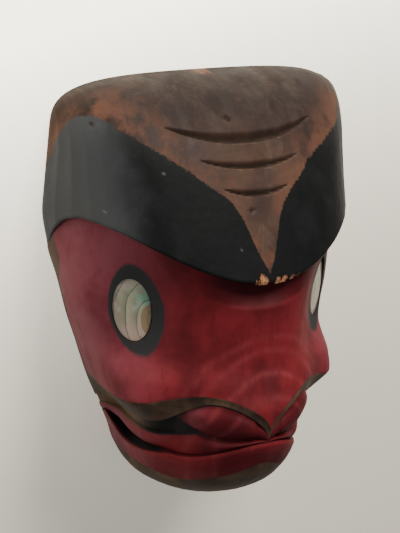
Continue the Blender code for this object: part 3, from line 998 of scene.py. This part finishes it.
@dataclass(frozen=True)
class PlasterFinish:
    """Plain pale ground that the mask lies on, glowing with painted light that is strongest towards the
    crown's left.
    """

    colour: Colour = (0.78, 0.715, 0.590)
    glow_colour: Colour = (1.0, 0.935, 0.780)
    light_pool_turn: float = 15.0
    light_pool_climb: float = 16.0
    light_pool_most: float = 7.0
    light_pool_reach: float = 0.55
    least_glow: float = 0.16
    glow: float = 0.55

    def build(self) -> bpy.types.Material:
        """The material of the floor.

        Returns:
            What it built.
        """
        kit = NodeKit("pale_plaster")
        cloud = kit.cloud((3.0, 3.0, 3.0), 3.0, 0.5)
        low = tuple(part * 0.975 for part in self.colour)
        kit.feed(kit.shader.inputs["Base Color"], kit.mix(kit.between(cloud, 0.3, 0.7), low, self.colour))
        kit.shader.inputs["Roughness"].default_value = 0.9
        kit.shader.inputs["Specular IOR Level"].default_value = 0.1
        parts = kit.add("ShaderNodeSeparateXYZ")
        turned = kit.coordinates((1.0, 1.0, 1.0), (0.0, 0.0, math.radians(-self.light_pool_turn)))
        kit.feed(parts.inputs[0], turned)
        # Painted light: the ground glows, most strongly towards the crown's left.
        light_pool = kit.math("POWER", 2.0, kit.times(parts.outputs[1], self.light_pool_climb))
        light_pool = kit.times(kit.math("MINIMUM", light_pool, self.light_pool_most), self.glow)
        away = kit.add("ShaderNodeVectorMath")
        away.operation = "LENGTH"
        kit.feed(away.inputs[0], turned)
        near = kit.between(away.outputs["Value"], self.light_pool_reach, 0.5 * self.light_pool_reach)
        light_pool = kit.plus(kit.times(light_pool, near), self.least_glow)
        kit.shader.inputs["Emission Color"].default_value = (*self.glow_colour, 1.0)
        kit.feed(kit.shader.inputs["Emission Strength"], light_pool)
        return kit.material


def select_only(obj: bpy.types.Object) -> None:
    """Makes one object the selected and active one.

    Args:
        obj: The object.
    """
    bpy.ops.object.select_all(action="DESELECT")
    obj.select_set(True)
    bpy.context.view_layer.objects.active = obj


def face_outward(obj: bpy.types.Object) -> None:
    """Turns all faces of an object outward.

    Args:
        obj: The object.
    """
    select_only(obj)
    bpy.ops.object.mode_set(mode="EDIT")
    bpy.ops.mesh.select_all(action="SELECT")
    bpy.ops.mesh.normals_make_consistent(inside=False)
    bpy.ops.object.mode_set(mode="OBJECT")


def store_numbers(obj: bpy.types.Object, name: str, values: Array) -> None:
    """Stores one number for each of an object's points."""
    layer = obj.data.attributes.new(name, "FLOAT", "POINT")
    layer.data.foreach_set("value", values.astype(np.float32))


def edit_faces(obj: bpy.types.Object, wanted: Callable[[bpy.types.MeshPolygon], bool]) -> None:
    """Enters edit mode with only the wanted faces selected.

    Args:
        obj: The object to edit.
        wanted: Says of each face whether it is selected.
    """
    select_only(obj)
    bpy.ops.object.mode_set(mode="EDIT")
    bpy.ops.mesh.select_mode(type="FACE")
    bpy.ops.mesh.select_all(action="DESELECT")
    bpy.ops.object.mode_set(mode="OBJECT")
    for polygon in obj.data.polygons:
        polygon.select = wanted(polygon)
    bpy.ops.object.mode_set(mode="EDIT")


@dataclass
class Front:
    """The carved front as a grid, with the numbers that its paint reads."""

    points: Array
    paint: dict[str, Array]


@dataclass
class CarvedBody:
    """The hollow wooden body with its carved and painted front."""

    form: MaskForm
    columns: int = 132
    forehead_rows: int = 150
    brow_rounding: float = 1.8 * MM
    hollow_rings: int = 22
    rim_step: int = 4
    crown_lean: float = 0.030
    lean_reach: float = 60 * MM
    lobe_step: float = 0.45
    gouge_size: tuple[float, float] = (13 * MM, 22 * MM)
    noise: SeededNoise = field(default_factory=SeededNoise)
    wing_edge: tuple[tuple[float, float], ...] = (
        (0, 98),
        (3, 89.5),
        (9, 70.5),
        (13, 63),
        (18, 57),
        (35, 43),
        (52, 32.5),
        (68, 23),
        (76, 19.5),
        (80, 22),
        (83, 29),
        (86, 40.5),
        (90, 59),
    )
    snout_arcs: tuple[tuple[float, float], ...] = ((36, 0.6), (49, 1.0), (61, 0.8), (68.5, 0.6))
    brow_chips: tuple[tuple[float, float, float], ...] = (
        (-6.2, 0.45, 3.2),
        (-3.1, 2.1, 5.2),
        (3.4, 1.2, 3.0),
        (6.3, 1.4, 3.4),
        (10.4, 1.3, 2.0),
        (13.8, 0.7, 1.6),
    )
    pits: tuple[tuple[float, float, float, float], ...] = (
        (-9.1, 18.7, 1.9, 1.7),
        (-6.3, 18.9, 1.0, 0.8),
        (-6.6, 65.2, 1.7, 1.3),
        (-4.0, 64.8, 0.9, 0.7),
        (-89.5, 24.0, 1.2, 0.6),
    )
    nicks: tuple[tuple[float, float, float], ...] = (
        (-58.1, 45.1, 0.9),
        (-87.4, 69.4, 0.9),
        (-17.3, 84.8, 0.8),
        (-27.2, 40.0, 0.7),
    )
    crown_chip: tuple[float, float, float] = (-15.0, 1.0, 1.0)

    def face_lines(self, angle: Array) -> dict[str, Array]:
        """Drops of the carving lines at each angle.

        Args:
            angle: Degrees round from the centre line.

        Returns:
            The drops by the line's name.
        """
        form = self.form
        brow = form.brow_drop(angle)
        lower = form.mouth_line(angle) + form.seam + form.slot_height(angle)
        return {
            "brow": brow,
            "crease": brow + form.bridge_height,
            "top": form.lip_top(angle),
            "edge": form.lip_edge(angle),
            "mouth": form.mouth_line(angle),
            "lower": lower,
            "band": form.chin_band(angle),
        }

    def mouth_profile(self, angle: Array) -> list[tuple[Array, ...]]:
        """Rows between the lip's edge and the mouth line: share, depth, red, painted gap shadow and dust
        with painted sheen of each.

        Args:
            angle: Degrees round from the centre line.

        Returns:
            Five values for each row.
        """
        form = self.form
        recess = form.recess_depth(angle)
        lobe = form.lobe_end(angle)
        there = np.clip((form.lobe_angle - angle) / 4, 0, 1)
        far = ease((angle - 15) / 8)
        rows = []
        for part in np.linspace(0.0, 1.0, 19):
            share = 0.012 + (lobe - 0.012) * part
            deep = recess - form.lobe_height(angle, np.full_like(angle, np.clip(part, 0.14, 0.97)))
            red = there * (1.0 if 0.05 < part else 0.0)
            # Painted shadow just under the upper lip's edge.
            under_lip_shadow = 0.6 * there * far * (1.0 if part < 0.06 else 0.0)
            # Dusty paint and painted sheen on the lobe.
            rows.append((share, deep, red, under_lip_shadow, 0.75 * there * ease((angle - 17) / 9)))
        start = np.maximum(form.inner_lip_start, lobe + 0.03)
        height = form.inner_lip_height * form.rim_fade(angle) * np.clip(angle / 4, 0, 1)
        step = self.lobe_step * there
        for part in (0.3, 0.65):
            red = 0.7 * there * (1 - far)
            share = lobe + (start - lobe) * part
            # Painted shadow between the lobe and the inner lip.
            rows.append((share, recess - height * step, red, there * (0.35 + 0.5 * far), 0.0 * red))
        for part in np.linspace(0, 1, 20):
            roll = np.maximum(form.inner_lip_roll(part), step if part < 0.5 else 0)
            red = np.maximum(1.0 if 0.12 < part < 0.97 else 0.0, there * (1 - far))
            rows.append((start + (1 - start) * part, recess - height * roll, red, 0.0 * red, 0.0 * red))
        return rows

    def front(self) -> Front:
        """Builds the grid of the front, row by row from the crown to the chin.

        Returns:
            The grid and its paint numbers.
        """
        form = self.form
        signed = 90 * np.linspace(-1, 1, 2 * self.columns + 1)
        signed = 90 * np.sign(signed) * (np.abs(signed) / 90) ** 1.12
        angle = np.abs(signed)
        side = np.where(signed < 0, -1.0, 1.0)
        lines = self.face_lines(angle)
        points: list[Array] = []
        plain: list[Array] = []
        notes: list[dict[str, Array]] = []

        def keep(point: Array, drop: Array, **values: "Array | float") -> None:
            """Keeps one row of points with its numbers.

            Args:
                point: One row of points.
                drop: Distance down from the crown.
                values: The numbers of the points.
            """
            row = {"face": 1.0, "mouth_red": 0.0, "gap": 0.0, "dust": 0.0, **values}
            notes.append({name: np.broadcast_to(value, angle.shape) for name, value in row.items()})
            plain.append(np.broadcast_to(drop, angle.shape))
            points.append(point * np.stack([side, np.ones_like(side), np.ones_like(side)], axis=-1))

        shares = np.linspace(0, 1, self.forehead_rows) ** 1.25
        shares = np.concatenate([shares[:-1], 1 - 0.008 * np.linspace(1, 0, 6) ** 1.5])
        for share in np.unique(shares):
            point = form.forehead(share, angle)
            left = (1 - share) * (lines["brow"] - form.crown_sag)
            bent = np.clip(1 - left / self.brow_rounding, 0, 1)
            inward = self.brow_rounding * (1 - np.sqrt(1 - bent**2)) * (1 - ease((angle - 80) / 10))
            point[..., (0, 2)] *= 1 - (inward / np.hypot(point[..., 0], point[..., 2] + 1e-9))[..., None]
            keep(point, form.brow_tip_drop * share + 0 * angle, face=0.0)
        under = form.brow_undercut * form.left_after(angle, form.undercut_end_angle)
        bridge = form.bridge_depth * np.clip(1 - (angle / form.bridge_angle) ** 2, 0, 1) ** 1.5
        for share in np.linspace(0, 1, 20):
            drop = lines["brow"] - under + (form.bridge_height + under) * share
            radius = form.radius(drop, angle) - bridge * (1 - share**2.5)
            keep(form.place(drop, angle, radius), drop)
        for share in np.linspace(0, 1, 51)[1:]:
            drop = lines["crease"] + (lines["top"] - lines["crease"]) * share
            keep(form.place(drop, angle, form.radius(drop, angle)), drop)
        for share in np.linspace(0, 1, 9)[1:]:
            drop = lines["top"] + (lines["edge"] - lines["top"]) * share
            hollowed = form.bevel_depth(angle) * (share + 0.18 * math.sin(math.pi * share))
            keep(form.place(drop, angle, form.radius(drop, angle) - hollowed), drop)
        for share, depth, red, gap, dust in self.mouth_profile(angle):
            drop = lines["edge"] + (lines["mouth"] - lines["edge"]) * share
            point = form.place(drop, angle, form.radius(drop, angle) - depth)
            keep(point, drop, mouth_red=red, gap=gap, dust=dust)
        slot = form.slot_height(angle)
        fade = form.rim_fade(angle)
        groove = form.recess_depth(angle) + form.mouth_depth * fade
        groove += form.slot_depth * form.slot_curve(angle)
        middle = lines["mouth"] + 0.5 * form.seam + slot * 0.45
        shadow = 0.5 + 0.5 * np.clip(4 * form.slot_curve(angle), 0, 1)
        for share in (0.2, 0.45, 0.7, 1.0):
            drop = lines["mouth"] + (middle - lines["mouth"]) * share
            deep = form.recess_depth(angle) + (groove - form.recess_depth(angle)) * ease(share)
            point = form.place(drop, angle, form.radius(drop, angle) - deep)
            keep(point, drop, gap=shadow, mouth_red=1.0)
        for share in (0.25, 0.5, 0.72, 0.88, 1.0):
            drop = middle + (lines["lower"] - middle) * share
            deep = groove + (form.jaw_inset * fade - groove) * (1 - math.cos(math.pi / 2 * share)) ** 0.9
            point = form.place(drop, angle, form.radius(drop, angle) - deep)
            keep(point, drop, gap=shadow * (share < 0.9), mouth_red=1.0)
        for share in np.linspace(0, 1, 18)[1:]:
            drop = lines["lower"] + (lines["band"] - lines["lower"]) * share
            deep = form.jaw_inset * fade * np.clip(1 - share / 0.12, 0, 1) ** 2
            keep(form.place(drop, angle, form.radius(drop, angle) - deep), drop, mouth_red=1.0)
        for share in 1 - np.linspace(1, 0, 25)[1:-1] ** 1.5:
            drop = lines["band"] + (form.length - lines["band"]) * share
            keep(form.place(drop, angle, form.radius(drop, angle)), drop, mouth_red=1.0)
        chin = form.chin_width * angle / 90
        end = np.stack([chin, np.full_like(chin, -form.length / 2), np.zeros_like(chin)], axis=-1)
        keep(end, form.length + 0 * angle)

        grid = np.array(points)
        faded = 1 - ease((form.length / 2 - grid[..., 1]) / self.lean_reach)
        grid[..., 1] += self.crown_lean * grid[..., 0] * faded
        paint = {name: np.array([note[name] for note in notes]) for name in notes[0]}
        paint["drop"] = np.array(plain)
        paint["angle"] = np.broadcast_to(signed, grid.shape[:2])
        self.mark(grid, paint)
        grid = self.work(grid, paint)
        return Front(grid, paint)

    def mark(self, grid: Array, paint: dict[str, Array]) -> None:
        """Adds the distances, in millimetres, from each point to the borders of the paint, and the weights
        of the painted shade and sheen.

        Args:
            grid: The front's points.
            paint: The front's paint numbers.
        """
        form = self.form
        angle = np.abs(paint["angle"])
        real = form.length / 2 - grid[..., 1]
        wave = 1.2 * self.noise.smooth(grid, 22 * MM) + 0.6 * self.noise.smooth(grid, 7 * MM)
        polar = np.degrees(np.arctan2(np.abs(grid[..., 0]), np.maximum(grid[..., 2], 0)))
        turns, falls = zip(*self.wing_edge)
        paint["black"] = (real / MM - np.interp(polar, turns, falls)) * 0.8 + 0.7 * wave
        # Painted shade over the crown's middle, fading down the forehead and towards the sides.
        middle = 1 - 0.15 * ease((np.abs(grid[..., 0]) - 50 * MM) / (45 * MM))
        paint["crown"] = middle * (1 - ease((real - 10 * MM) / (44 * MM)))
        paint["lip"] = (real - form.lip_top(angle)) / MM + 0.3 * wave
        paint["edge"] = (real - form.lip_edge(angle)) / MM
        paint["band"] = (real - form.chin_band(angle)) / MM + 0.5 * wave
        here, normal, long_axis, short_axis = form.eye_frame()
        away = np.stack([np.abs(grid[..., 0]), grid[..., 1], grid[..., 2]], axis=-1) - here
        along = away @ long_axis / MM - 0.3
        across = away @ short_axis / MM + 2.6 - 0.045 * along
        reach = (np.abs(across / 16.2) ** 1.9 + np.abs(along / 28.4) ** 1.75) ** (1 / 1.85)
        paint["ring"] = np.where(np.abs(away @ normal) < 30 * MM, (1 - reach) * 18, -50) + 0.3 * wave
        edge = 86.5 - 4.5 * np.exp(-(((real / MM - 110) / 14) ** 2))
        paint["side"] = (edge - angle) * 1.5 + 0.6 * wave
        # Flank share: weights the painted sheen on the flanks and fades the painted recess shade.
        paint["flank"] = ease((angle - 24) / 46)
        # Painted shade: a dark band under the brow's edge and a fainter cast shadow below it.
        below = (real - form.brow_drop(angle)) / form.bridge_height
        paint["shade"] = (1 - ease((below - 0.75) / 0.35)) * (1 - ease((angle - 14) / 22))
        cast = 0.4 * (1 - ease(below / 3)) * (1 - ease((angle - 40) / 30))
        paint["shade"] = np.maximum(paint["shade"], cast)
        # Painted shade on the jaw below the mouth and inside the mouth behind the upper lip.
        jaw = ease((real - form.mouth_line(angle) - 3 * MM) / (5 * MM)) * (1 - ease((angle - 30) / 30))
        inside = (paint["edge"] > 0) * (real < form.mouth_line(angle)) * (1 - ease((angle - 12) / 16))
        paint["shade"] = np.maximum(paint["shade"], np.maximum(0.4 * jaw, 0.75 * inside))
        reach = np.hypot(grid[..., 0] / MM * 1.15 - 3, real / MM - 207)
        reach = reach + 1.6 * self.noise.smooth(grid, 34 * MM)
        arcs = [strength * np.exp(-(((reach - size) / 1.7) ** 2)) for size, strength in self.snout_arcs]
        paint["arch"] = np.max(arcs, axis=0) * (1 - ease((angle - 20) / 18))
        for name in ("pale", "dark", "scuff"):
            paint[name] = np.zeros_like(real)

    def work(self, grid: Array, paint: dict[str, Array]) -> Array:
        """Cuts the grooves, chips, pits and tool marks into the front, along its normals.

        Args:
            grid: The front's points.
            paint: The front's paint numbers.

        Returns:
            The worked points.
        """
        form = self.form
        noise = self.noise
        signed = paint["angle"]
        angle = np.abs(signed)
        face = paint["face"] > 0.5
        real = form.length / 2 - grid[..., 1]
        depth = np.zeros_like(real)
        rough = noise.smooth(grid, 3 * MM) + 0.6 * noise.smooth(grid, 1.4 * MM)

        for drop, span, lift, width, deep in form.grooves:
            turn = np.clip(angle / span, 0, 1.3)
            centre = drop - lift * turn**2
            size = np.clip(1 - turn**2, 0, 1)
            away = (paint["drop"] - centre) / (width / 2 * size**0.7 + 0.02 * MM)
            away = away + 0.05 * rough * (away > 0)
            cut = np.where(away < 0.45, (away + 1) / 1.45, (1 - away) / 0.55)
            cut = ease(cut) * np.where(face, 0, 1) * (size > 0)
            depth -= deep * size**0.6 * cut * (1 + 0.08 * rough)
            # Painted shade and dirt on the groove's floor.
            paint["dark"] = np.maximum(paint["dark"], np.clip(cut * 1.5 - 0.3, 0, 1))
        across = grid[..., 0] / MM
        for x, drop, size, deep in self.pits:
            away = np.hypot(real / MM - drop, across - x) / size + 0.2 * rough
            cut = np.clip(1 - away**2, 0, 1)
            depth -= deep * MM * cut
            # Painted shade and dirt in the pit.
            paint["dark"] = np.maximum(paint["dark"], np.clip(cut * 1.5, 0, 1))
        for x, drop, size in self.nicks:
            away = np.hypot(real / MM - drop, across - x) / size
            paint["scuff"] = np.maximum(paint["scuff"], 0.8 * np.clip(1 - away**2, 0, 1))
        start, end, tall = self.crown_chip
        ragged = tall * (0.8 + 0.5 * rough) - real / MM
        chipped = np.clip(ragged, 0, 1) * (across > start) * (across < end)
        paint["pale"] = np.maximum(paint["pale"], 0.45 * chipped)
        above = (form.brow_drop(angle) - real) / MM
        for turn, half, tall in self.brow_chips:
            away = np.abs(signed - turn) / half
            reach = tall * np.sqrt(np.clip(1 - away**2.5, 0, 1)) * (1 + 0.25 * rough)
            cut = np.where(face, 0, np.clip((reach - above) / 0.8, 0, 1)) * (away < 1)
            depth -= cut * np.clip(1.1 - 0.1 * above, 0.25, 1.1) * MM
            paint["pale"] = np.maximum(paint["pale"], cut)

        arc = np.stack([signed / 8.0, real / (17 * MM)], axis=-1)
        facets = noise.cuts(arc, 11)
        tail = ease((angle - 42) / 20) * np.where(face, 0.0, 1.0)
        planes = np.abs((angle / 7.3 + 0.25 * noise.smooth(grid, 60 * MM)) % 1 - 0.5) * 2
        depth += facets * 0.10 * MM * np.where(face, 0.5, 1.0) + planes**2 * 0.42 * tail * MM
        depth += 0.25 * MM * noise.smooth(grid, 26 * MM)
        depth += 0.05 * MM * rough
        strokes = noise.cuts(np.stack([signed / 3.2, real / (5.5 * MM)], axis=-1), 31)
        carved = np.clip(paint["band"], 0, 1) + np.clip(paint["lip"] * 2, 0, 1) * (paint["mouth_red"] < 0.5)
        depth += strokes * 0.22 * MM * np.clip(carved, 0, 1) * np.where(face, 1, 0)
        depth *= np.clip(grid[..., 2] / (4 * MM), 0, 1)

        along = np.gradient(grid, axis=1)
        down = np.gradient(grid, axis=0)
        normal = np.cross(down, along)
        normal /= np.linalg.norm(normal, axis=-1, keepdims=True) + 1e-12
        middle = np.zeros_like(grid)
        middle[..., 1] = grid[..., 1]
        normal *= np.sign(((grid - middle) * normal).sum(-1, keepdims=True) + 1e-12)
        worked = grid + normal * depth[..., None]
        worked[:, 0, 2] = worked[:, -1, 2] = 0
        worked[0, :, 2] = worked[-1, :, 2] = 0
        return worked

    def hollow_outline(self, bearing: Array) -> Array:
        """Points of the hollow's edge in the rim's plane, at bearings round the mask's middle.

        Args:
            bearing: Directions round the mask's middle.

        Returns:
            One point for each bearing.
        """
        form = self.form
        top, bottom = form.hollow_ends()
        drop = top + (bottom - top) * ease(np.linspace(0, 1, 900))
        drop = np.clip(drop, top + 1e-6, bottom - 1e-6)
        width, _ = form.hollow_section(drop)
        x = np.concatenate([width, -width[::-1]])
        y = form.length / 2 - np.concatenate([drop, drop[::-1]])
        turn = np.arctan2(x, y)
        order = np.argsort(turn)
        reach = np.interp(bearing, turn[order], np.hypot(x, y)[order], period=2 * math.pi)
        return np.stack([reach * np.sin(bearing), reach * np.cos(bearing)], axis=-1)

    def hollow_height(self, plan: Array) -> Array:
        """Height of the hollow over points of the rim's plane.

        Args:
            plan: Points of the rim's plane.

        Returns:
            One height for each point.
        """
        form = self.form
        top, bottom = form.hollow_ends()
        drop = np.clip(form.length / 2 - plan[:, 1], top + 1e-6, bottom - 1e-6)
        width, height = form.hollow_section(drop)
        share = np.clip(np.abs(plan[:, 0]) / np.maximum(width, 1e-6), 0, 1)
        return height * np.clip(1 - share ** (2 / 0.9), 0, 1) ** 0.45

    def build(self, paint_finish: PaintedFaceFinish, back_finish: BareWoodFinish) -> bpy.types.Object:
        """Makes the whole body, with its eye sockets cut.

        Args:
            paint_finish: Finish of the carved front.
            back_finish: Finish of the rim and of the hollow.

        Returns:
            The finished piece.
        """
        front = self.front()
        rows, columns = front.points.shape[:2]
        number = np.arange(rows * columns).reshape(rows, columns)
        quads = np.stack([number[:-1, :-1], number[1:, :-1], number[1:, 1:], number[:-1, 1:]], axis=-1)
        faces: list[list[int]] = quads.reshape(-1, 4).tolist()
        painted = len(faces)
        edge = np.concatenate([number[0], number[1:-1, -1], number[-1, ::-1], number[-2:0:-1, 0]])
        points = [front.points.reshape(-1, 3)]
        flat = points[0]
        starts = edge[:: self.rim_step]
        bearing = np.arctan2(flat[starts, 0], flat[starts, 1])
        outline = self.hollow_outline(bearing)
        count = len(starts)
        base = rows * columns
        for k in range(count):
            outer = [int(edge[(self.rim_step * k + i) % len(edge)]) for i in range(self.rim_step)]
            if self.rim_step * (k + 1) < len(edge):
                outer.append(int(edge[self.rim_step * (k + 1)]))
            else:
                outer = [int(v) for v in edge[self.rim_step * k :]] + [int(edge[0])]
            faces.append([*outer, base + (k + 1) % count, base + k])
        shares = np.cos(math.pi / 2 * np.linspace(0, 1, self.hollow_rings + 1)[:-1] ** 1.5)
        for ring, share in enumerate(shares):
            plan = outline * share
            up = self.hollow_height(plan)
            arc = plan / np.array(self.gouge_size)
            up = up - self.noise.cuts(arc, 71) * 0.9 * MM * ease(up / (20 * MM)) if ring else up * 0
            points.append(np.column_stack([plan, up]))
            if ring:
                first = base + (ring - 1) * count
                for k in range(count):
                    after = (k + 1) % count
                    faces.append([first + k, first + after, first + count + after, first + count + k])
        last = base + (len(shares) - 1) * count
        points.append(np.array([[0.0, 0.0, self.hollow_height(np.zeros((1, 2)))[0]]]))
        for k in range(count):
            faces.append([last + k, last + (k + 1) % count, last + count])

        mesh = bpy.data.meshes.new("carved_body")
        mesh.from_pydata(np.concatenate(points).tolist(), [], faces)
        body = bpy.data.objects.new("carved_body", mesh)
        bpy.context.scene.collection.objects.link(body)
        mesh.materials.append(paint_finish.build())
        mesh.materials.append(back_finish.build())
        index = np.zeros(len(faces), np.int32)
        index[painted:] = 1
        mesh.polygons.foreach_set("material_index", index)
        face_outward(body)
        for side in (-1, 1):
            self.cut_socket(body, side)
        self.store_paint(body, front)
        select_only(body)
        bpy.ops.object.shade_smooth_by_angle(angle=math.radians(38))
        return body

    def cut_socket(self, body: bpy.types.Object, side: int) -> None:
        """Cuts one eye's socket into the body.

        Args:
            body: The wooden body.
            side: -1 for the viewer's left eye, 1 for the right one.
        """
        form = self.form
        low = -(form.inlay_recess + form.inlay_thickness + form.inlay_gap)
        width = form.inlay_width + 2 * form.inlay_gap
        height = form.inlay_height + 2 * form.inlay_gap
        cutter = eye_plate(form, side, low, 8 * MM, width, height)
        select_only(body)
        cut = body.modifiers.new("socket", "BOOLEAN")
        cut.object = cutter
        cut.solver = "EXACT"
        bpy.ops.object.modifier_apply(modifier=cut.name)
        bpy.data.objects.remove(cutter, do_unlink=True)

    def store_paint(self, body: bpy.types.Object, front: Front) -> None:
        """Gives each vertex the paint numbers of the nearest point of the front.

        Args:
            body: The wooden body.
            front: The carved front.
        """
        points = front.points.reshape(-1, 3)
        tree = KDTree(len(points))
        for index, point in enumerate(points):
            tree.insert(point, index)
        tree.balance()
        nearest = np.array([tree.find(vertex.co)[1] for vertex in body.data.vertices])
        for name, values in front.paint.items():
            if name not in ("drop", "angle"):
                store_numbers(body, name, values.reshape(-1)[nearest])


def eye_plate(
    form: MaskForm, side: int, low: float, high: float, width: float, height: float
) -> bpy.types.Object:
    """Adds an elliptical plate across an eye's normal, with its place in its mesh.

    Args:
        form: The mask's sizes.
        side: -1 for the viewer's left eye, 1 for the right one.
        low: Where the plate starts along the eye's normal.
        high: Where it ends.
        width: Its short way across.
        height: Its long way across.

    Returns:
        The plate.
    """
    here, normal, long_axis, short_axis = form.eye_frame()
    bpy.ops.object.select_all(action="DESELECT")
    bpy.ops.mesh.primitive_cylinder_add(vertices=EYE_SIDES, radius=0.5, depth=1.0)
    plate = bpy.context.object
    flip = np.array((side, 1.0, 1.0))
    across, along, out = short_axis * flip, long_axis * flip, normal * flip
    centre = (here + normal * (low + high) / 2) * flip
    frame_rows = Matrix.Identity(4)
    for row in range(3):
        frame_rows[row][0] = across[row] * width
        frame_rows[row][1] = along[row] * height
        frame_rows[row][2] = out[row] * (high - low)
        frame_rows[row][3] = centre[row]
    plate.data.transform(frame_rows)
    face_outward(plate)
    return plate


@dataclass
class EyeInlay:
    """One oval plate of abalone shell, slightly domed and with rubbed edges."""

    form: MaskForm
    side: int
    dome: float = 0.5 * MM
    rubbed_edge: float = 0.35 * MM
    rings: int = 12
    growth_point: tuple[float, float] = (-11.5, -7.5)

    def build(self, finish: ShellFinish) -> bpy.types.Object:
        """Makes the plate and its polish.

        Args:
            finish: Its finish.

        Returns:
            What it built.
        """
        form = self.form
        name = "left" if self.side < 0 else "right"
        low = -(form.inlay_recess + form.inlay_thickness)
        size = (form.inlay_width, form.inlay_height)
        plate = eye_plate(form, self.side, low, -form.inlay_recess, *size)
        plate.name = plate.data.name = f"shell_inlay_{name}"
        here, normal, long_axis, short_axis = form.eye_frame()
        flip = np.array((self.side, 1.0, 1.0))
        out = Vector(normal * flip)
        edit_faces(plate, lambda face: face.normal.dot(out) > 0.9)
        bpy.ops.mesh.bevel(offset=self.rubbed_edge, segments=3, affect="EDGES")
        bpy.ops.object.mode_set(mode="OBJECT")
        largest = max(face.area for face in plate.data.polygons if face.normal.dot(out) > 0.9)
        edit_faces(plate, lambda face: face.area > 0.9 * largest and face.normal.dot(out) > 0.9)
        centre = (here - normal * form.inlay_recess) * flip
        for ring in range(self.rings, 1, -1):
            bpy.ops.mesh.extrude_region()
            share = (ring - 1) / ring
            bpy.ops.transform.resize(value=(share, share, share), center_override=tuple(centre))
        bpy.ops.object.mode_set(mode="OBJECT")
        self.crown(plate, here * flip, out, long_axis * flip, short_axis * flip)
        plate.data.materials.append(finish.build(f"abalone_{name}"))
        select_only(plate)
        bpy.ops.object.shade_smooth_by_angle(angle=math.radians(40))
        return plate

    def crown(self, plate: bpy.types.Object, here: Array, out: Vector, along: Array, across: Array) -> None:
        """Domes the plate's face and stores where each point lies on it, in millimetres.

        Args:
            plate: The plate.
            here: The eye's centre.
            out: The eye's normal.
            along: The eye's long axis.
            across: The eye's short axis.
        """
        form = self.form
        points = np.array([vertex.co for vertex in plate.data.vertices]) - here
        u, v, height = points @ across, points @ along, points @ np.array(out)
        share = (2 * u / form.inlay_width) ** 2 + (2 * v / form.inlay_height) ** 2
        on_top = height > -form.inlay_recess - 0.05 * MM
        lift = np.where(on_top, self.dome * np.clip(1 - share, 0, 1), 0)
        for vertex, rise in zip(plate.data.vertices, lift):
            vertex.co += out * float(rise)
        from_u, from_v = self.growth_point
        reach = np.hypot(u / MM - from_u, 0.72 * (v / MM - from_v))
        for name, values in (("across", u / MM), ("along", v / MM), ("reach", reach)):
            store_numbers(plate, name, values)


@dataclass
class Studio:
    """Pale floor, soft lights and the camera at the photograph's angle."""

    azimuth: float = 36.0
    elevation: float = 20.0
    roll: float = 7.3
    distance: float = 0.9117
    target: Vector = field(default_factory=lambda: Vector((0.0, 0.014, 0.040)))
    offset: tuple[float, float] = (0.0092, -0.00215)
    lens: float = 100.4

    def floor(self, finish: PlasterFinish) -> bpy.types.Object:
        """Adds the floor just under the rim.

        Args:
            finish: Its finish.

        Returns:
            The floor.
        """
        bpy.ops.object.select_all(action="DESELECT")
        bpy.ops.mesh.primitive_plane_add(size=8.0, location=(0.0, 0.0, -0.0004))
        plane = bpy.context.object
        plane.name = "pale_floor"
        plane.data.materials.append(finish.build())
        return plane

    def camera(self) -> bpy.types.Object:
        """Adds the camera and makes it the scene's.

        Returns:
            The camera.
        """
        turn, lift, roll = (math.radians(a) for a in (self.azimuth, self.elevation, self.roll))
        back = Vector((-math.sin(turn) * math.cos(lift), math.sin(lift), math.cos(turn) * math.cos(lift)))
        level = Vector((math.cos(turn), 0.0, math.sin(turn)))
        upright = back.cross(level)
        right = level * math.cos(roll) + upright * math.sin(roll)
        up = upright * math.cos(roll) - level * math.sin(roll)
        place = self.target + back * self.distance - right * self.offset[0] - up * self.offset[1]
        data = bpy.data.cameras.new("camera")
        data.sensor_fit = "VERTICAL"
        data.sensor_height = 36.0
        data.lens = self.lens
        camera = bpy.data.objects.new("camera", data)
        bpy.context.scene.collection.objects.link(camera)
        rows = Matrix((right, up, back)).transposed().to_4x4()
        rows.translation = place
        camera.matrix_world = rows
        bpy.context.scene.camera = camera
        return camera

    def light(self, name: str, place: Colour, size: float, power: float, colour: Colour) -> None:
        """Adds a soft square light that points at the mask.

        Args:
            name: Its name.
            place: Where it stands.
            size: How wide it is.
            power: Its power, in watts.
            colour: Its colour.
        """
        data = bpy.data.lights.new(name, "AREA")
        data.shape = "SQUARE"
        data.size = size
        data.energy = power
        data.color = colour
        lamp = bpy.data.objects.new(name, data)
        bpy.context.scene.collection.objects.link(lamp)
        lamp.location = place
        lamp.rotation_euler = (Vector(place) - self.target).to_track_quat("Z", "Y").to_euler()

    def lights(self) -> None:
        """Adds the key light from the crown's side, a fill from the left and the room's light."""
        self.light("key", (0.30, 1.50, 0.84), 0.8, 46.0, (1.0, 0.97, 0.92))
        self.light("left_fill", (-1.60, 0.30, 0.60), 1.1, 7.0, (0.94, 0.97, 1.0))
        world = bpy.data.worlds.new("room")
        world.use_nodes = True
        ground = world.node_tree.nodes["Background"]
        ground.inputs["Color"].default_value = (0.90, 0.93, 1.0, 1.0)
        ground.inputs["Strength"].default_value = 0.32
        bpy.context.scene.world = world


def main() -> None:
    """Builds the mask, its inlays and the studio."""
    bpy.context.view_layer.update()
    studio = Studio()
    studio.camera()
    form = MaskForm()
    body = CarvedBody(form).build(PaintedFaceFinish(), BareWoodFinish())
    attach(body, "root")
    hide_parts("mask_body")
    LOG.info("%s: %d faces", body.name, len(body.data.polygons))
    for side, node in ((-1, "eye_inlay_left"), (1, "eye_inlay_right")):
        inlay = EyeInlay(form, side).build(ShellFinish(3.0 * side))
        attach(inlay, "root")
        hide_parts(node)
        LOG.info("%s: %d faces", inlay.name, len(inlay.data.polygons))
    studio.floor(PlasterFinish())
    studio.lights()


if __name__ == "__main__":
    logging.basicConfig(level=logging.INFO, format="%(name)s: %(message)s")
    main()
